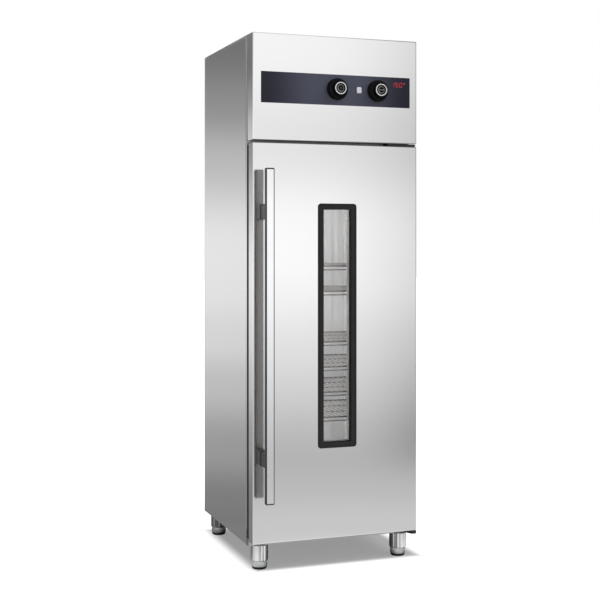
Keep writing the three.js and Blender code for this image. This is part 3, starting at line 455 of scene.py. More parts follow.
def revolved(centre, axis, profile, steps, ripple=None, closed=False):
    """A profile of (radius, distance along the axis) in millimetres, turned about the axis.

    Ripple scales the radius by row and angle, and closed joins the profile's last point to its first.
    """
    axis, profile = np.array(axis, float), MM * np.array(profile)
    side = np.array([1.0, 0.0, 0.0]) if abs(axis[0]) < 0.5 else np.array([0.0, 1.0, 0.0])
    other = np.cross(axis, side)
    angle = np.linspace(0, 2 * np.pi, steps, endpoint=False)
    around = np.cos(angle)[:, None] * side + np.sin(angle)[:, None] * other
    radius = profile[:, 0][:, None] * np.ones(steps)
    if ripple is not None:
        radius = radius * ripple(np.arange(len(profile))[:, None], angle[None, :])
    points = np.array(centre) + radius[..., None] * around + (profile[:, 1][:, None] * axis)[:, None, :]
    return points.reshape(-1, 3), grid_faces(len(profile), steps, close_rows=closed)


def waves(profile, depths, count, power=1.0):
    """A ripple: 1 minus a row's depth times a power of a raised cosine, with so many waves round.

    Depths holds (first row, last row, depth); the other rows of the profile stay round.
    """
    share = np.zeros(len(profile))
    for first, last, depth in depths:
        share[first : last + 1] = depth
    return lambda row, angle: 1 - share[row] * (0.5 - 0.5 * np.cos(count * angle)) ** power


def points_along(x, y, z):
    """Points from x, y and z, of which some are arrays and the rest single numbers."""
    return np.stack(np.broadcast_arrays(x, y, z), axis=1)


def rods(starts, ends, radius, sides=8):
    """Straight round wires: a circle of the radius square to the run, closed to a point at both ends."""
    starts, ends = np.atleast_2d(starts), np.atleast_2d(ends)
    run = (ends - starts) / np.linalg.norm(ends - starts, axis=1, keepdims=True)
    helper = np.where(np.abs(run[:, 2:3]) > 0.9, [[1.0, 0.0, 0.0]], [[0.0, 0.0, 1.0]])
    side = np.cross(run, helper)
    side /= np.linalg.norm(side, axis=1, keepdims=True)
    other = np.cross(run, side)
    angle = np.linspace(0, 2 * np.pi, sides, endpoint=False)
    around = side[:, None] * np.cos(angle)[None, :, None] + other[:, None] * np.sin(angle)[None, :, None]
    along = np.array([0.0, 0.0, 1.0, 1.0])[None, :, None, None]
    size = np.array([0.0, radius, radius, 0.0])[None, :, None, None]
    middle = starts[:, None, None, :] + along * (ends - starts)[:, None, None, :]
    points = (middle + size * around[:, None]).reshape(-1, 3)
    one = grid_faces(4, sides)
    faces = (one[None] + (np.arange(len(starts)) * 4 * sides)[:, None, None]).reshape(-1, 4)
    return points, faces


def piece(name, shape, body, finish_name, replaced=(), sharp=35.0):
    """Makes a mesh object from (points, faces), with its doubles merged and its faces turned outwards.

    Edges sharper than that angle in degrees keep a crease.
    """
    points, faces = shape
    mesh = bpy.data.meshes.new(name)
    mesh.from_pydata(points.tolist(), [], faces.tolist())
    work = bmesh.new()
    work.from_mesh(mesh)
    bmesh.ops.remove_doubles(work, verts=work.verts, dist=1e-6)
    bmesh.ops.recalc_face_normals(work, faces=work.faces)
    work.to_mesh(mesh)
    work.free()
    mesh.materials.append(coat(finish_name))
    mesh.polygons.foreach_set("use_smooth", np.ones(len(mesh.polygons), bool))
    mesh.set_sharp_from_angle(angle=math.radians(sharp))
    obj = bpy.data.objects.new(name, mesh)
    bpy.context.scene.collection.objects.link(obj)
    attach(obj, body)
    if replaced:
        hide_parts(*replaced)


def dress(nodes, finish_name, width=0.0):
    """Puts a finish on CAD nodes and gives them small round edges.

    Their loose faces are welded first, and then every edge over 30 degrees is bevelled by the width.
    """
    for node in nodes:
        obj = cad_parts[node]
        obj.data.materials.clear()
        obj.data.materials.append(coat(finish_name))
        if width > 0:
            weld = obj.modifiers.new("Weld", "WELD")
            weld.merge_threshold = 0.01 * MM
            bevel = obj.modifiers.new("Bevel", "BEVEL")
            bevel.width = width
            bevel.segments = BEVEL_SEGMENTS
            bevel.limit_method = "ANGLE"
            bevel.angle_limit = BEVEL_ANGLE


# Studio. What metal sees: (height, level) of the room, and (share of FAR_FLOOR, level) of the floor
FRONT_ROOM = (
    (0.0, 0.5), (0.48, 1.06), (0.517, 1.06), (0.534, 0.71), (0.546, 0.77), (0.577, 1.0), (0.62, 0.9),
    (0.7, 0.5), (0.8, 0.6), (1.0, 0.75),
)
BACK_ROOM = (
    (0.0, 0.3), (0.5, 0.78), (0.534, 0.48), (0.555, 0.27), (0.58, 0.16), (0.68, 0.3), (0.8, 0.55), (1.0, 0.7),
)
FRONT_FLOOR = (
    (0.05, 0.585), (0.08, 0.505), (0.118, 0.45), (0.168, 0.52), (0.235, 0.64), (0.38, 0.77), (1.0, 0.98),
)
BACK_FLOOR = ((0.02, 0.17), (0.05, 0.2), (0.11, 0.31), (0.25, 0.5), (0.45, 0.66), (1.0, 0.76))
FAR_FLOOR = 20.0
FRONT_TO_BACK = (-0.3, 0.5)  # y, or y of a direction, where the front levels give way to the back ones
RIGHT_WING = (0.349, 0.552)  # x of a direction, where the right of the room darkens
WING_LEVELS, WING_FLOOR_LOSS = (1.0, 0.25), 0.6
WING_FLOOR = (1.6, 3.2)  # distances from the cabinet between which the floor takes part in that
NEAR_FLOOR = (0.5, 0.75)  # distances between which the near floor gives way to the ramps
UNDER_PAINTED_SHADOW_LEVEL = 0.012  # level of the floor under the cabinet, as metal sees it: painted shadow
BESIDE_PLACES, BESIDE_PAINTED_SHADE_LEVELS = (-0.27, -0.05), (0.78, 0.18)  # y of two places, and what is added there to the floor beside the cabinet as metal sees it, darker towards the back: painted shade
PAINTED_SHADOW_EDGES = ((-0.05, 0.015), (-0.005, 0.065))  # start and end of the painted shadow's fading in x and y, outside the base
# painted shadow: how much further its patch reaches to the right
PAINTED_SHADOW_TO_RIGHT = 0.05
FLOOR_COLOUR_AND_PAINTED_SHADOW, FLOOR_GLOW_AND_PAINTED_SHADOW = (0.2, 0.86), (0.29, 0.8)  # in the painted shadow under the cabinet and on the open floor
FLOOR_HALF, FLOOR_POINTS = 30.0, 9
BLACK, EVEN_GREY, WHITE = (0, 0, 0, 1), (0.8, 0.8, 0.8, 1), (1, 1, 1, 1)
KEY_SIZE, KEY_PLACE, KEY_TURN = (3.0, 3.0), (3.2, -2.4, 4.2), (38, 12, 53)  # turns are in degrees
INSIDE_WIDTH, INSIDE_X, BEHIND_MOUTH, INSIDE_TURN = 0.3, -0.08, 0.02, (90, 0, -22)
INSIDE_HEIGHT, INSIDE_MIDDLE = 0.76, 0.53  # shares of the chamber's height


def level_ramp(graph, place, stops):
    """A grey level that eases through (place, level) pairs."""
    ramp = graph.add("ValToRGB", place)
    band = ramp.color_ramp
    band.interpolation = "EASE"
    band.elements.remove(band.elements[1])
    for i, (position, level) in enumerate(stops):
        element = band.elements.new(position) if i else band.elements[0]
        element.position = position
        element.color = (level, level, level, 1)
    return ramp.outputs["Color"]


def two_sided(graph, depth, place, front_stops, back_stops):
    """A grey level from one ramp in front of the cabinet and another behind it, blended across its middle."""
    front, back = level_ramp(graph, place, front_stops), level_ramp(graph, place, back_stops)
    return graph.mix(graph.smooth(depth, FRONT_TO_BACK), front, back)


class CABINET_OT_studio(bpy.types.Operator):
    """Set up the floor, the light and the camera"""

    bl_idname = "cabinet.studio"
    bl_label = "Studio"

    def execute(self, context):
        scene = context.scene
        scene.view_settings.view_transform = "Standard"
        for add in (self.add_floor, self.light_world, self.add_lamps, self.add_camera):
            add(scene, scene.cabinet_studio)
        return {"FINISHED"}

    def add_floor(self, scene, settings):
        """A wide flat grid: white to the camera but for the cabinet's shadow, partly real and partly painted, and
        grey levels to metal.
        """
        x = np.linspace(-FLOOR_HALF, FLOOR_HALF, FLOOR_POINTS)
        px, py = np.meshgrid(x, x, indexing="ij")
        points = points_along(px.ravel(), py.ravel(), 0.0)
        faces = grid_faces(FLOOR_POINTS, FLOOR_POINTS, close_columns=False)
        mesh = bpy.data.meshes.new("studio_floor")
        mesh.from_pydata(points.tolist(), [], faces[:, ::-1].tolist())
        material = bpy.data.materials.new("Studio floor")
        graph = Graph(material)
        graph.nodes.clear()
        path = graph.add("LightPath").outputs
        where = graph.add("TexCoord").outputs["Object"]
        away = graph.add("VectorMath", where, operation="LENGTH").outputs["Value"]
        x_place, y_place, _ = graph.parts(where)
        outside = self.outside_painted_shadow(graph, x_place, y_place)
        # painted shadow: under the cabinet the floor's colour and its glow to the camera are lowered, on top of
        # its real shading
        plain = graph.add("BsdfDiffuse", graph.spread(outside, FLOOR_COLOUR_AND_PAINTED_SHADOW))
        lift = graph.math("MULTIPLY", path["Is Camera Ray"], graph.spread(outside, FLOOR_GLOW_AND_PAINTED_SHADOW))
        glow = graph.add("Emission", WHITE, lift)
        seen = graph.add("AddShader", plain.outputs["BSDF"], glow.outputs["Emission"])
        share = graph.math("MULTIPLY", away, 1 / FAR_FLOOR)
        far = two_sided(graph, y_place, share, FRONT_FLOOR, BACK_FLOOR)
        # painted shadow as metal sees it: the near floor is dark under the cabinet and darker beside it towards
        # the back
        beside = graph.smooth(y_place, BESIDE_PLACES, BESIDE_PAINTED_SHADE_LEVELS)
        near = graph.math("MULTIPLY_ADD", outside, beside, UNDER_PAINTED_SHADOW_LEVEL)
        wing = graph.smooth(graph.math("DIVIDE", x_place, away), RIGHT_WING, (0.0, WING_FLOOR_LOSS))
        dim = graph.math("MULTIPLY", wing, graph.smooth(away, WING_FLOOR))
        in_metal = graph.mix(graph.smooth(away, NEAR_FLOOR), near, far)
        mirror = graph.add("Emission", in_metal, graph.spread(dim, (settings.mirror_level, 0.0)))
        sources = path["Is Glossy Ray"], seen.outputs["Shader"], mirror.outputs["Emission"]
        graph.add("OutputMaterial", graph.add("MixShader", *sources).outputs["Shader"])
        mesh.materials.append(material)
        floor = bpy.data.objects.new("studio_floor", mesh)
        scene.collection.objects.link(floor)

    def outside_painted_shadow(self, graph, *places):
        """The mask of a painted shadow: 0 under the cabinet and 1 on the open floor, with a soft edge."""
        low, high = span("base_pan")
        sides = []
        for axis, (place, reach) in enumerate(zip(places, (PAINTED_SHADOW_TO_RIGHT, 0.0))):
            middle, half = (low[axis] + high[axis] + reach) / 2, (high[axis] - low[axis] + reach) / 2
            off = graph.math("ABSOLUTE", graph.math("SUBTRACT", place, middle))
            start, end = PAINTED_SHADOW_EDGES[axis]
            sides.append(graph.smooth(off, (half + start, half + end)))
        return graph.math("MAXIMUM", *sides)

    def light_world(self, scene, settings):
        """White to the camera, a soft band of light at eye level to metal, and an even level for the rest."""
        scene.world = bpy.data.worlds.new("Studio world")
        graph = Graph(scene.world)
        graph.nodes.clear()
        x, y, z = graph.parts(graph.add("TexCoord").outputs["Generated"])
        height = graph.spread(z, (0.0, 1.0), (-1.0, 1.0))
        seen = two_sided(graph, y, height, FRONT_ROOM, BACK_ROOM)
        room = graph.mix(graph.smooth(x, RIGHT_WING, WING_LEVELS), BLACK, seen)
        levels = ((EVEN_GREY, settings.world_level), (room, settings.mirror_level), (WHITE, 1.0))
        even, in_metal, white = (graph.add("Background", *level).outputs["Background"] for level in levels)
        path = graph.add("LightPath").outputs
        direct = graph.math("MAXIMUM", path["Is Camera Ray"], path["Is Transmission Ray"])
        indirect = graph.add("MixShader", path["Is Glossy Ray"], even, in_metal).outputs["Shader"]
        graph.add("OutputWorld", graph.add("MixShader", direct, indirect, white).outputs["Shader"])

    def add_lamps(self, scene, settings):
        """A large soft lamp at the upper right, and a tall one just inside the chamber's mouth."""
        key = self.area_lamp(scene, "key_lamp", settings.key_power, KEY_SIZE, KEY_PLACE, KEY_TURN)
        key.visible_glossy = False
        low, high = span("liner_back")
        tall, mouth = high[2] - low[2], span("stile_left")[1][1]
        size = (INSIDE_WIDTH, INSIDE_HEIGHT * tall)
        place = (INSIDE_X, mouth + BEHIND_MOUTH, low[2] + INSIDE_MIDDLE * tall)
        inside = self.area_lamp(scene, "chamber_lamp", settings.chamber_power, size, place, INSIDE_TURN)
        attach(inside, "cabinet")

    def area_lamp(self, scene, name, power, size, place, turn):
        """A rectangular lamp, turned by angles in degrees."""
        light = bpy.data.lights.new(name, "AREA")
        light.shape = "RECTANGLE"
        light.size, light.size_y = size
        light.energy = power
        lamp = bpy.data.objects.new(name, light)
        lamp.location = place
        lamp.rotation_euler = [math.radians(angle) for angle in turn]
        scene.collection.objects.link(lamp)
        return lamp

    def add_camera(self, scene, settings):
        """A level camera where the photograph was taken from."""
        data = bpy.data.cameras.new("camera")
        data.lens = settings.focal_length
        data.sensor_width = 36.0
        data.shift_y = settings.frame_shift
        camera = bpy.data.objects.new("camera", data)
        x, y, z = settings.camera_place
        camera.location = (x, y + span("door_skin")[0][1], z)
        camera.rotation_euler = (math.pi / 2, 0, -settings.camera_turn)
        scene.collection.objects.link(camera)
        scene.camera = camera


# Operators: one for each piece or group of like pieces


class CABINET_OT_sheet_panels(bpy.types.Operator):
    """Finish the flat outer panels, the front frame and the base pan"""

    bl_idname = "cabinet.sheet_panels"
    bl_label = "Outer panels"

    def execute(self, context):
        width = context.scene.cabinet_sheet.edge_softening
        panels = ["top_panel", "back_panel", "base_pan"]
        front = ["stile_left", "stile_right", "header_rail"]
        dress(panels + front, "Outer steel", width)
        dress(["front_sill"], "Dull steel", width)
        return {"FINISHED"}


class CABINET_OT_side_panels(bpy.types.Operator):
    """Make the two folded side panels"""

    bl_idname = "cabinet.side_panels"
    bl_label = "Side panels"

    def execute(self, context):
        settings = context.scene.cabinet_sheet
        sheet, bend = settings.sheet, settings.side_bend
        for side in ("left", "right"):
            node = "side_panel_" + side
            low, high = span(node)
            outer, inner = (low[0], high[0]) if side == "left" else (high[0], low[0])
            inward = math.copysign(1.0, inner - outer)
            seen = (low + high)[1:] / 2, *(high - low)[1:]
            ring, middle = insets(*seen, SHEET_CORNER, tighter=1.0), spine(*seen)
            rows = [(middle, outer), ring(bend + FLAT_RIM, outer)]
            rows += round_edge(ring, bend, outer, inward)
            rows += [ring(0.0, inner), ring(sheet, inner), ring(sheet, outer + inward * bend)]
            rows += [ring(bend, outer + inward * sheet), (middle, outer + inward * sheet)]
            points, faces = ring_shell(rows, closed=False)
            shape = (points[:, [1, 0, 2]], faces)
            piece(node + "_sheet", shape, "cabinet", "Outer steel", (node,))
        return {"FINISHED"}


class CABINET_OT_head_cover(bpy.types.Operator):
    """Make the folded cover of the head, with its window for the controls"""

    bl_idname = "cabinet.head_cover"
    bl_label = "Head cover"

    def execute(self, context):
        shape = folded_front("head_cover", "control_glass", lap=12 * MM, lower_short=9.5 * MM)
        piece("head_cover_sheet", shape, "cabinet", "Outer steel", ("head_cover",))
        return {"FINISHED"}


class CABINET_OT_header_strip(bpy.types.Operator):
    """Make the grey strip on the header rail, behind the gap between the head and the door, that paints the gap's
    shade
    """

    bl_idname = "cabinet.header_strip"
    bl_label = "Header strip"

    def execute(self, context):
        door_low, door_high = span("door_skin")
        rail, head, hinge = (span(node)[0] for node in ("header_rail", "head_cover", "upper_hinge_bracket"))
        left, right = door_low[0] + 1 * MM, hinge[0] - 2 * MM
        foot, top = door_high[2] + 1.2 * MM, head[2] - 0.4 * MM
        back, front = rail[1] - 0.3 * MM, rail[1] - 32 * MM
        seen = ((left + right) / 2, (foot + top) / 2), right - left, top - foot
        section, middle = insets(*seen, corner=1.5 * MM), spine(*seen)
        rows = [(middle, back), section(0.0, back)]
        rows += round_edge(section, 1.2 * MM, front, points=5)[::-1]
        rows.append((middle, front))
        # painted shade: a grey sheet in the gap stands for the gap's own shade
        piece("header_strip", ring_shell(rows, closed=False), "cabinet", "Strip rubber")
        return {"FINISHED"}


class CABINET_OT_panel_screws(bpy.types.Operator):
    """Make the domed screws round the back panel"""

    bl_idname = "cabinet.panel_screws"
    bl_label = "Back panel screws"

    rows: bpy.props.IntProperty(
        name="Rows", description="Number of screws up each edge of the back panel", default=7, min=2, max=20,
    )

    def execute(self, context):
        low, high = span("back_panel")
        inset = 14 * MM
        x = (low[0] + inset, high[0] - inset)
        z = np.linspace(low[2] + inset, high[2] - inset, self.rows)
        places = [(px, pz) for px in x for pz in z]
        places += [((low[0] + high[0]) / 2, pz) for pz in (z[0], z[-1])]
        radius, rise, edge, socket = 4.2, 1.6, 0.4, 1.2
        turn = np.linspace(0, np.pi / 2, 6)
        dome = np.stack([radius * np.cos(turn), edge + rise * np.sin(turn)], axis=1)
        bottom = [(1.7, dome[-2, 1]), (1.3, socket), (0.0, socket)]
        profile = [(0.0, 0.0), (radius, 0.0), *dome[:-1], *bottom]
        heads = [revolved((px, high[1], pz), TO_BACK, profile, 24) for px, pz in places]
        piece("back_panel_screws", gather(heads), "cabinet", "Bright steel")
        return {"FINISHED"}


class CABINET_OT_controls(bpy.types.Operator):
    """Finish the dark glass, the push button and what stands behind them"""

    bl_idname = "cabinet.controls"
    bl_label = "Controls"

    def execute(self, context):
        width = context.scene.cabinet_sheet.edge_softening
        dress(["control_glass"], "Control glass", width)
        dress(["start_button"], "White plastic", 2 * width)
        dress(["control_board"], "Circuit board")
        dress(["timer_body", "thermostat_body"], "Dark moulding", width)
        return {"FINISHED"}


# The lit strokes of 0 to 9: a to f clockwise from the top one, g across the middle
DIGIT_STROKES = ("abcdef", "bc", "abged", "abgcd", "fgbc", "afgcd", "afgedc", "abc", "abcdefg", "abcdfg")


def stroke_places(height, width):
    """Middle and half-length vectors of the seven strokes of a digit, from its lower left corner."""
    half_v, half_h = height / 4, width / 2
    return {
        "a": ((half_h, height), (half_h, 0)),
        "b": ((width, 3 * half_v), (0, half_v)),
        "c": ((width, half_v), (0, half_v)),
        "d": ((half_h, 0), (half_h, 0)),
        "e": ((0, half_v), (0, half_v)),
        "f": ((0, 3 * half_v), (0, half_v)),
        "g": ((half_h, height / 2), (half_h, 0)),
    }


class CABINET_OT_display(bpy.types.Operator):
    """Make the lit digits behind the glass's front face"""

    bl_idname = "cabinet.display"
    bl_label = "Display digits"

    text: bpy.props.StringProperty(
        name="Number", description="The number that the display shows", default="150",
    )

    def execute(self, context):
        low, high = span("control_glass")
        from_left, from_top = 490 * MM, 34 * MM
        left, front, foot = low[0] + from_left, low[1], high[2] - from_top
        height, width, pitch = 15 * MM, 9 * MM, 15.5 * MM
        thick, rise, slant, length_share = 1.4 * MM, 0.15 * MM, 0.12, 0.93
        places = stroke_places(height, width)
        parts = []
        for i, digit in enumerate(self.text):
            for stroke in DIGIT_STROKES[int(digit)]:
                middle, run = np.array(places[stroke]) * ((1.0,), (length_share,))
                length = np.linalg.norm(run)
                ahead = run / length
                beside = np.array([-ahead[1], ahead[0]]) * thick / 2
                flat = ahead * (length - thick / 2)
                outline = np.array([-run, beside - flat, flat + beside, run, flat - beside, -flat - beside])
                x, z = (outline + middle + (i * pitch, 0.0)).T
                ring = np.stack([left + x + slant * z, foot + z], axis=1)
                centre = np.broadcast_to(ring.mean(axis=0), ring.shape)
                rows = [(centre, front), (ring, front), (ring, front - rise), (centre, front - rise)]
                parts.append(ring_shell(rows, closed=False))
        degree_x = left + len(self.text) * pitch + 1.5 * MM + slant * height
        section = [(2.6, 0.0), (1.2, 0.0), (1.2, 0.15), (2.6, 0.15)]
        degree_place = (degree_x, front, foot + height - 2 * MM)
        parts.append(revolved(degree_place, TO_FRONT, section, 16, closed=True))
        piece("display_digits", gather(parts), "cabinet", "Lit digits")
        return {"FINISHED"}


class CABINET_OT_knobs(bpy.types.Operator):
    """Make the two fluted knobs with their bright rings"""

    bl_idname = "cabinet.knobs"
    bl_label = "Knobs"

    flutes: bpy.props.IntProperty(
        name="Flutes", description="Number of flutes round the grip", default=30, min=6, max=60,
    )

    def execute(self, context):
        for name in ("timer_knob", "thermostat_knob"):
            (x, z), width, _, front, back = face(name)
            centre = np.array([x, back, z])
            skirt, reach = width / 2 / MM, (back - front) / MM
            grip = reach - 22
            profile = [
                (3.6, 0.0), (skirt - 0.8, 0.0), (skirt, 0.8), (skirt, 5.0), (skirt - 1.2, 6.4),
                (skirt - 2.0, grip - 2.0), (skirt - 4.5, grip), (26.5, grip + 0.4), (24.4, grip + 2.0),
                (23.6, grip + 6.0), (22.8, reach - 4.0), (22.0, reach - 1.4), (21.0, reach - 0.9),
                (16.0, reach - 0.9), (15.4, reach - 2.2), (9.0, reach - 2.2), (0.0, reach - 2.2),
            ]
            ripple = waves(profile, ((4, 5, 0.022), (8, 10, 0.02)), self.flutes, power=0.6)
            outside = revolved(centre, TO_FRONT, profile, self.flutes * 8, ripple)
            bore = revolved(centre, TO_FRONT, [(3.6, 0.0), (3.6, 20.0), (0.0, 20.0)], self.flutes * 8)
            body, shape = name + "_body", gather([outside, bore])
            piece(name + "_body", shape, body, "Knob plastic", (name,), sharp=40)
            self.add_rings(name, body, centre, reach)
        return {"FINISHED"}

    def add_rings(self, name, body, centre, reach):
        """A bright ring with an arch for its section, a narrow one inside it, and a bar across the middle."""
        turn = np.linspace(0, np.pi, 9)
        arch = np.stack([19.6 - 1.9 * np.cos(turn), reach - 1.1 + 1.0 * np.sin(turn)], axis=1)
        ring = revolved(centre, TO_FRONT, arch, 96, closed=True)
        piece(name + "_ring", ring, body, "Spacer metal")
        top, half_bar = reach - 2.2, 9.0 if name == "thermostat_knob" else 2.4
        section = [(12.4, top), (12.0, reach - 1.2), (10.4, reach - 1.0), (10.0, top)]
        middle = centre + np.array(TO_FRONT) * top * MM
        half = np.array([half_bar * MM, 0.0, 0.0])
        bar = rods(middle - half, middle + half, 1.6 * MM, sides=16)
        mark = gather([revolved(centre, TO_FRONT, section, 96, closed=True), bar])
        piece(name + "_mark", mark, body, "Dull steel")


class CABINET_OT_door_front(bpy.types.Operator):
    """Make the bent front sheet of the door with its window cut-out"""

    bl_idname = "cabinet.door_front"
    bl_label = "Door front"

    def execute(self, context):
        shape = folded_front("door_skin", "window_pane_outer", lap=-3 * MM)
        piece("door_front_sheet", shape, "door", "Outer steel", ("door_skin",))
        dress(["door_liner"], "Chamber steel", 0.2 * MM)
        dress(["door_core"], "Mineral wool")
        return {"FINISHED"}


class CABINET_OT_window(bpy.types.Operator):
    """Make the rubber surround of the window, and finish its two panes"""

    bl_idname = "cabinet.window"
    bl_label = "Window"

    def execute(self, context):
        centre, width, height, front, back = face("window_frame")
        _, pane_width, pane_height, pane_front, pane_back = face("window_pane_outer")
        lap, gap = 14 * MM, 0.3 * MM
        skin, glass = front + 4 * MM, pane_front - gap
        outer = insets(centre, width, height, corner=11 * MM, tighter=0.8)
        inner = insets(centre, pane_width, pane_height, corner=1.5 * MM)
        rows = [
            outer(0.4 * MM, skin), outer(0.0, skin - 1.2 * MM), outer(0.3 * MM, front + 1.2 * MM),
            outer(1.5 * MM, front + 0.2 * MM), outer(3.5 * MM, front), outer(4.3 * MM, front + 0.9 * MM),
            outer(5.1 * MM, front), outer(12.0 * MM, front), inner(lap - 2.2 * MM, front + 0.3 * MM),
            inner(lap - 0.6 * MM, front + 1.2 * MM), inner(lap, front + 2.8 * MM), inner(lap, glass),
            inner(-gap, glass), inner(-gap, back), inner(-gap - 2.0 * MM, back), inner(-gap - 2.0 * MM, skin),
        ]
        shape = ring_shell(rows, closed=True)
        piece("window_surround", shape, "door", "Seal rubber", ("window_frame",))
        dress(["window_pane_outer", "window_pane_inner"], "Window glass", 0.5 * MM)
        start, end = pane_back + gap, span("window_pane_inner")[0][1] - gap
        rows = [inner(lap - gap, start), inner(lap - gap, end), inner(lap / 2, end), inner(lap / 2, start)]
        piece("window_spacer", ring_shell(rows, closed=True), "door", "Spacer metal")
        return {"FINISHED"}


class CABINET_OT_door_seal(bpy.types.Operator):
    """Make the ribbed seal round the back of the door"""

    bl_idname = "cabinet.door_seal"
    bl_label = "Door seal"

    def execute(self, context):
        centre, width, height, front, back = face("door_gasket")
        wider, ring, rib, ribs = 6.6 * MM, 16 * MM, 1.0 * MM, 3
        row = insets(centre, width + wider, height, corner=8 * MM, tighter=0.4)
        share = np.linspace(0, 1, 25)
        bellows = rib * (0.5 - 0.5 * np.cos(share * ribs * 2 * np.pi))
        outside = [(inset, front + (back - front) * t) for inset, t in zip(bellows, share)]
        inside = [(ring - inset, y) for inset, y in reversed(outside)]
        shape = ring_shell([row(inset, y) for inset, y in outside + inside], closed=True)
        piece("door_seal", shape, "door", "Seal rubber", ("door_gasket",), sharp=60)
        return {"FINISHED"}


class CABINET_OT_handle(bpy.types.Operator):
    """Make the long bar handle, and finish its bright face and its brackets"""

    bl_idname = "cabinet.handle"
    bl_label = "Handle"

    def execute(self, context):
        centre, width, height, front, full_back = face("handle_bar")
        _, face_width, face_height, _, face_back = face("handle_face")
        plate, play, back_radius, front_radius = 0.6 * MM, 0.3 * MM, 4 * MM, 2.2 * MM
        back, floor = full_back - plate, face_back + play
        outer = insets(centre, width, height, corner=back_radius)
        slot = insets(centre, face_width, face_height, corner=0.6 * MM)
        middle, slot_middle = spine(centre, width, height), spine(centre, face_width, face_height)
        rows = [(middle, back), *round_edge(outer, back_radius, back, inward=-1.0)]
        rows += round_edge(outer, front_radius, front)[::-1]
        rows += [slot(-play, front), slot(-play, floor), (slot_middle, floor)]
        shape = ring_shell(rows, closed=False)
        piece("handle_moulding", shape, "door", "Dark moulding", ("handle_bar",))
        start, inset = back + 0.1 * MM, 3 * MM
        rows = [(middle, start), outer(inset, start), outer(inset, full_back), (middle, full_back)]
        piece("handle_back_plate", ring_shell(rows, closed=False), "door", "Dull steel")
        dress(["handle_face"], "Bright steel", 0.5 * MM)
        dress(["handle_bracket_upper", "handle_bracket_lower"], "Dark moulding", 0.8 * MM)
        return {"FINISHED"}


class CABINET_OT_hinges(bpy.types.Operator):
    """Finish the two hinge brackets"""

    bl_idname = "cabinet.hinges"
    bl_label = "Hinges"

    def execute(self, context):
        dress(["upper_hinge_bracket", "lower_hinge_bracket"], "Black paint", 0.6 * MM)
        return {"FINISHED"}


class CABINET_OT_feet(bpy.types.Operator):
    """Make the four levelling feet: bright tube, knurled collar and rubber pad"""

    bl_idname = "cabinet.feet"
    bl_label = "Feet"

    ridges: bpy.props.IntProperty(
        name="Ridges", description="Number of knurled ridges round the collar", default=40, min=8, max=80,
    )

    def execute(self, context):
        for place in ("front_left", "front_right", "back_left", "back_right"):
            self.add_foot("foot_tube_" + place, "foot_base_" + place)
        return {"FINISHED"}

    def add_foot(self, tube_name, base_name):
        """One foot, from profiles turned about its upright axis."""
        low, high = span(tube_name)
        centre = (*(low + high)[:2] / 2, 0.0)
        radius, bottom, top, bore = (high[0] - low[0]) / 2 / MM, low[2] / MM, high[2] / MM, 9.4
        tube = [
            (bore, bottom + 0.4), (radius - 2.5, bottom), (radius - 0.7, bottom + 0.3),
            (radius, bottom + 1.2), (radius, top - 4.0), (radius, top - 0.8), (radius - 0.8, top), (0.0, top),
            (0.0, top - 8.0), (bore, top - 8.0), (bore, bottom + 0.4),
        ]
        shape = revolved(centre, UP, tube, 64)
        piece(tube_name + "_turned", shape, "cabinet", "Foot steel", (tube_name,))
        base_low, base_high = span(base_name)
        outer, stem = (base_high[0] - base_low[0]) / 2 / MM - 0.1, 9.0
        collar_top, stem_top = bottom - 0.3, base_high[2] / MM
        collar = [
            (0.0, 8.4), (20.0, 8.4), (outer - 1.6, 8.6), (outer - 0.8, 9.4), (outer, 10.6),
            (outer, collar_top - 3.2), (outer - 0.8, collar_top - 1.4), (outer - 1.8, collar_top),
            (stem, collar_top), (stem, stem_top - 1.0), (stem - 1.0, stem_top), (0.0, stem_top),
        ]
        shape = revolved(centre, UP, collar, self.ridges * 6, waves(collar, ((4, 5, 0.03),), self.ridges))
        name, body = base_name + "_collar", base_name + "_body"
        piece(name, shape, body, "Cast aluminium", (base_name,), sharp=40)
        pad = [
            (0.0, 0.0), (outer - 5.8, 0.0), (outer - 3.9, 0.5), (outer - 1.6, 4.0), (outer - 1.2, 5.4),
            (outer - 1.2, 7.4), (outer - 2.0, 8.2), (0.0, 8.2),
        ]
        piece(base_name + "_pad", revolved(centre, UP, pad, 64), body, "Seal rubber")


class CABINET_OT_chamber(bpy.types.Operator):
    """Finish the chamber, its racks and what moves and heats the air"""

    bl_idname = "cabinet.chamber"
    bl_label = "Chamber"

    def execute(self, context):
        width = context.scene.cabinet_sheet.edge_softening
        liners = ["liner_left", "liner_right", "liner_back", "liner_floor", "liner_ceiling"]
        dress(liners, "Chamber steel")
        dress(["fan_baffle", "rear_duct", "drip_tray"], "Chamber steel", 0.25 * MM)
        dress(["rack_left", "rack_right"], "Bright steel", width)
        dress(["temperature_probe"], "Bright steel")
        dress(["heater_element"], "Black paint")
        dress(["fan_motor", "fan_impeller"], "Cast aluminium", width)
        dress(["insulation"], "Mineral wool")
        dress(["cable_gland"], "Knob plastic", width)
        return {"FINISHED"}


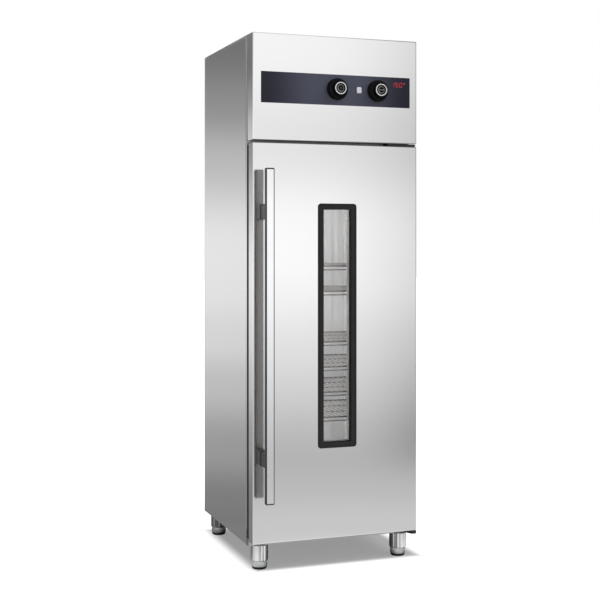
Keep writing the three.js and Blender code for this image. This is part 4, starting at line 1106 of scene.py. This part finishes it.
class CABINET_OT_shelves(bpy.types.Operator):
    """Make the welded wire shelves"""

    bl_idname = "cabinet.shelves"
    bl_label = "Shelves"

    wires: bpy.props.IntProperty(
        name="Wires", description="Number of wires from front to back on each shelf", default=23, min=3,
        max=60,
    )
    lip_drop: bpy.props.FloatProperty(
        name="Lip drop", description="Depth of the second wire under the front rim", default=13 * MM,
        min=5 * MM, max=30 * MM, unit="LENGTH",
    )
    lip_inset: bpy.props.FloatProperty(
        name="Lip inset", description="Distance of the second wire's ends from the sides of the shelf",
        default=22 * MM, min=10 * MM, max=80 * MM, unit="LENGTH",
    )

    def execute(self, context):
        thick, lip, tie, thin = 3.0 * MM, 2.2 * MM, 1.7 * MM, 1.5 * MM  # radii of the wires
        for number in range(1, 7):
            name = f"shelf_{number}"
            low, high = span(name)
            level, top, under = (low[2] + high[2]) / 2, high[2] - thin, low[2] + tie
            x0, x1 = low[0] + thick, high[0] - thick
            y0, y1 = low[1] + thick, high[1] - thick
            starts = points_along((x0, x1, x1, x0), (y0, y0, y1, y1), level)
            ends = np.roll(starts, -1, axis=0)
            past = (ends - starts) / np.linalg.norm(ends - starts, axis=1, keepdims=True) * thick / 2
            rim = rods(starts - past, ends + past, thick, sides=16)
            lip_x, lower = (x0 + self.lip_inset, x1 - self.lip_inset), level - self.lip_drop
            corners = points_along(np.repeat(lip_x, 2), y0, (level, lower, lower, level))
            front_lip = rods(corners[:-1], corners[1:], lip, sides=12)
            x = np.linspace(x0, x1, self.wires + 2)[1:-1]
            long_wires = rods(points_along(x, y0, top), points_along(x, y1, top), thin)
            y = np.linspace(y0, y1, 4)[1:-1]
            ties = rods(points_along(x0, y, under), points_along(x1, y, under), tie, sides=10)
            body, rims, wires = name + "_body", gather([rim, front_lip]), gather([long_wires, ties])
            # painted shade: the rims take a darker copy of the wires' steel
            piece(name + "_rim", rims, body, "Wire steel", (name,), sharp=60)
            piece(name + "_wires", wires, body, "Shelf wire steel", sharp=60)
        return {"FINISHED"}


OPERATORS = (
    CABINET_OT_studio,
    CABINET_OT_sheet_panels,
    CABINET_OT_side_panels,
    CABINET_OT_head_cover,
    CABINET_OT_header_strip,
    CABINET_OT_panel_screws,
    CABINET_OT_controls,
    CABINET_OT_display,
    CABINET_OT_knobs,
    CABINET_OT_door_front,
    CABINET_OT_window,
    CABINET_OT_door_seal,
    CABINET_OT_handle,
    CABINET_OT_hinges,
    CABINET_OT_feet,
    CABINET_OT_chamber,
    CABINET_OT_shelves,
)

GROUPS = {
    "cabinet_sheet": SheetSettings,
    "cabinet_finish": FinishSettings,
    "cabinet_studio": StudioSettings,
}


class CABINET_PT_sidebar(bpy.types.Panel):
    """Lists the cabinet's settings and pieces"""

    bl_idname = "CABINET_PT_sidebar"
    bl_label = "Sterilizer cabinet"
    bl_space_type = "VIEW_3D"
    bl_region_type = "UI"
    bl_category = "Cabinet"

    def draw(self, context):
        for name, group in GROUPS.items():
            box = self.layout.box()
            for setting in group.__annotations__:
                box.prop(getattr(context.scene, name), setting)
        column = self.layout.column(align=True)
        for operator in OPERATORS:
            column.operator(operator.bl_idname)


def register():
    for name, group in GROUPS.items():
        bpy.utils.register_class(group)
        setattr(bpy.types.Scene, name, bpy.props.PointerProperty(type=group))
    for operator in OPERATORS:
        bpy.utils.register_class(operator)
    bpy.utils.register_class(CABINET_PT_sidebar)


def unregister():
    bpy.utils.unregister_class(CABINET_PT_sidebar)
    for operator in reversed(OPERATORS):
        bpy.utils.unregister_class(operator)
    for name, group in reversed(GROUPS.items()):
        delattr(bpy.types.Scene, name)
        bpy.utils.unregister_class(group)


def main():
    register()
    for operator in OPERATORS:
        family, name = operator.bl_idname.split(".")
        getattr(getattr(bpy.ops, family), name)()


if __name__ == "__main__":
    main()
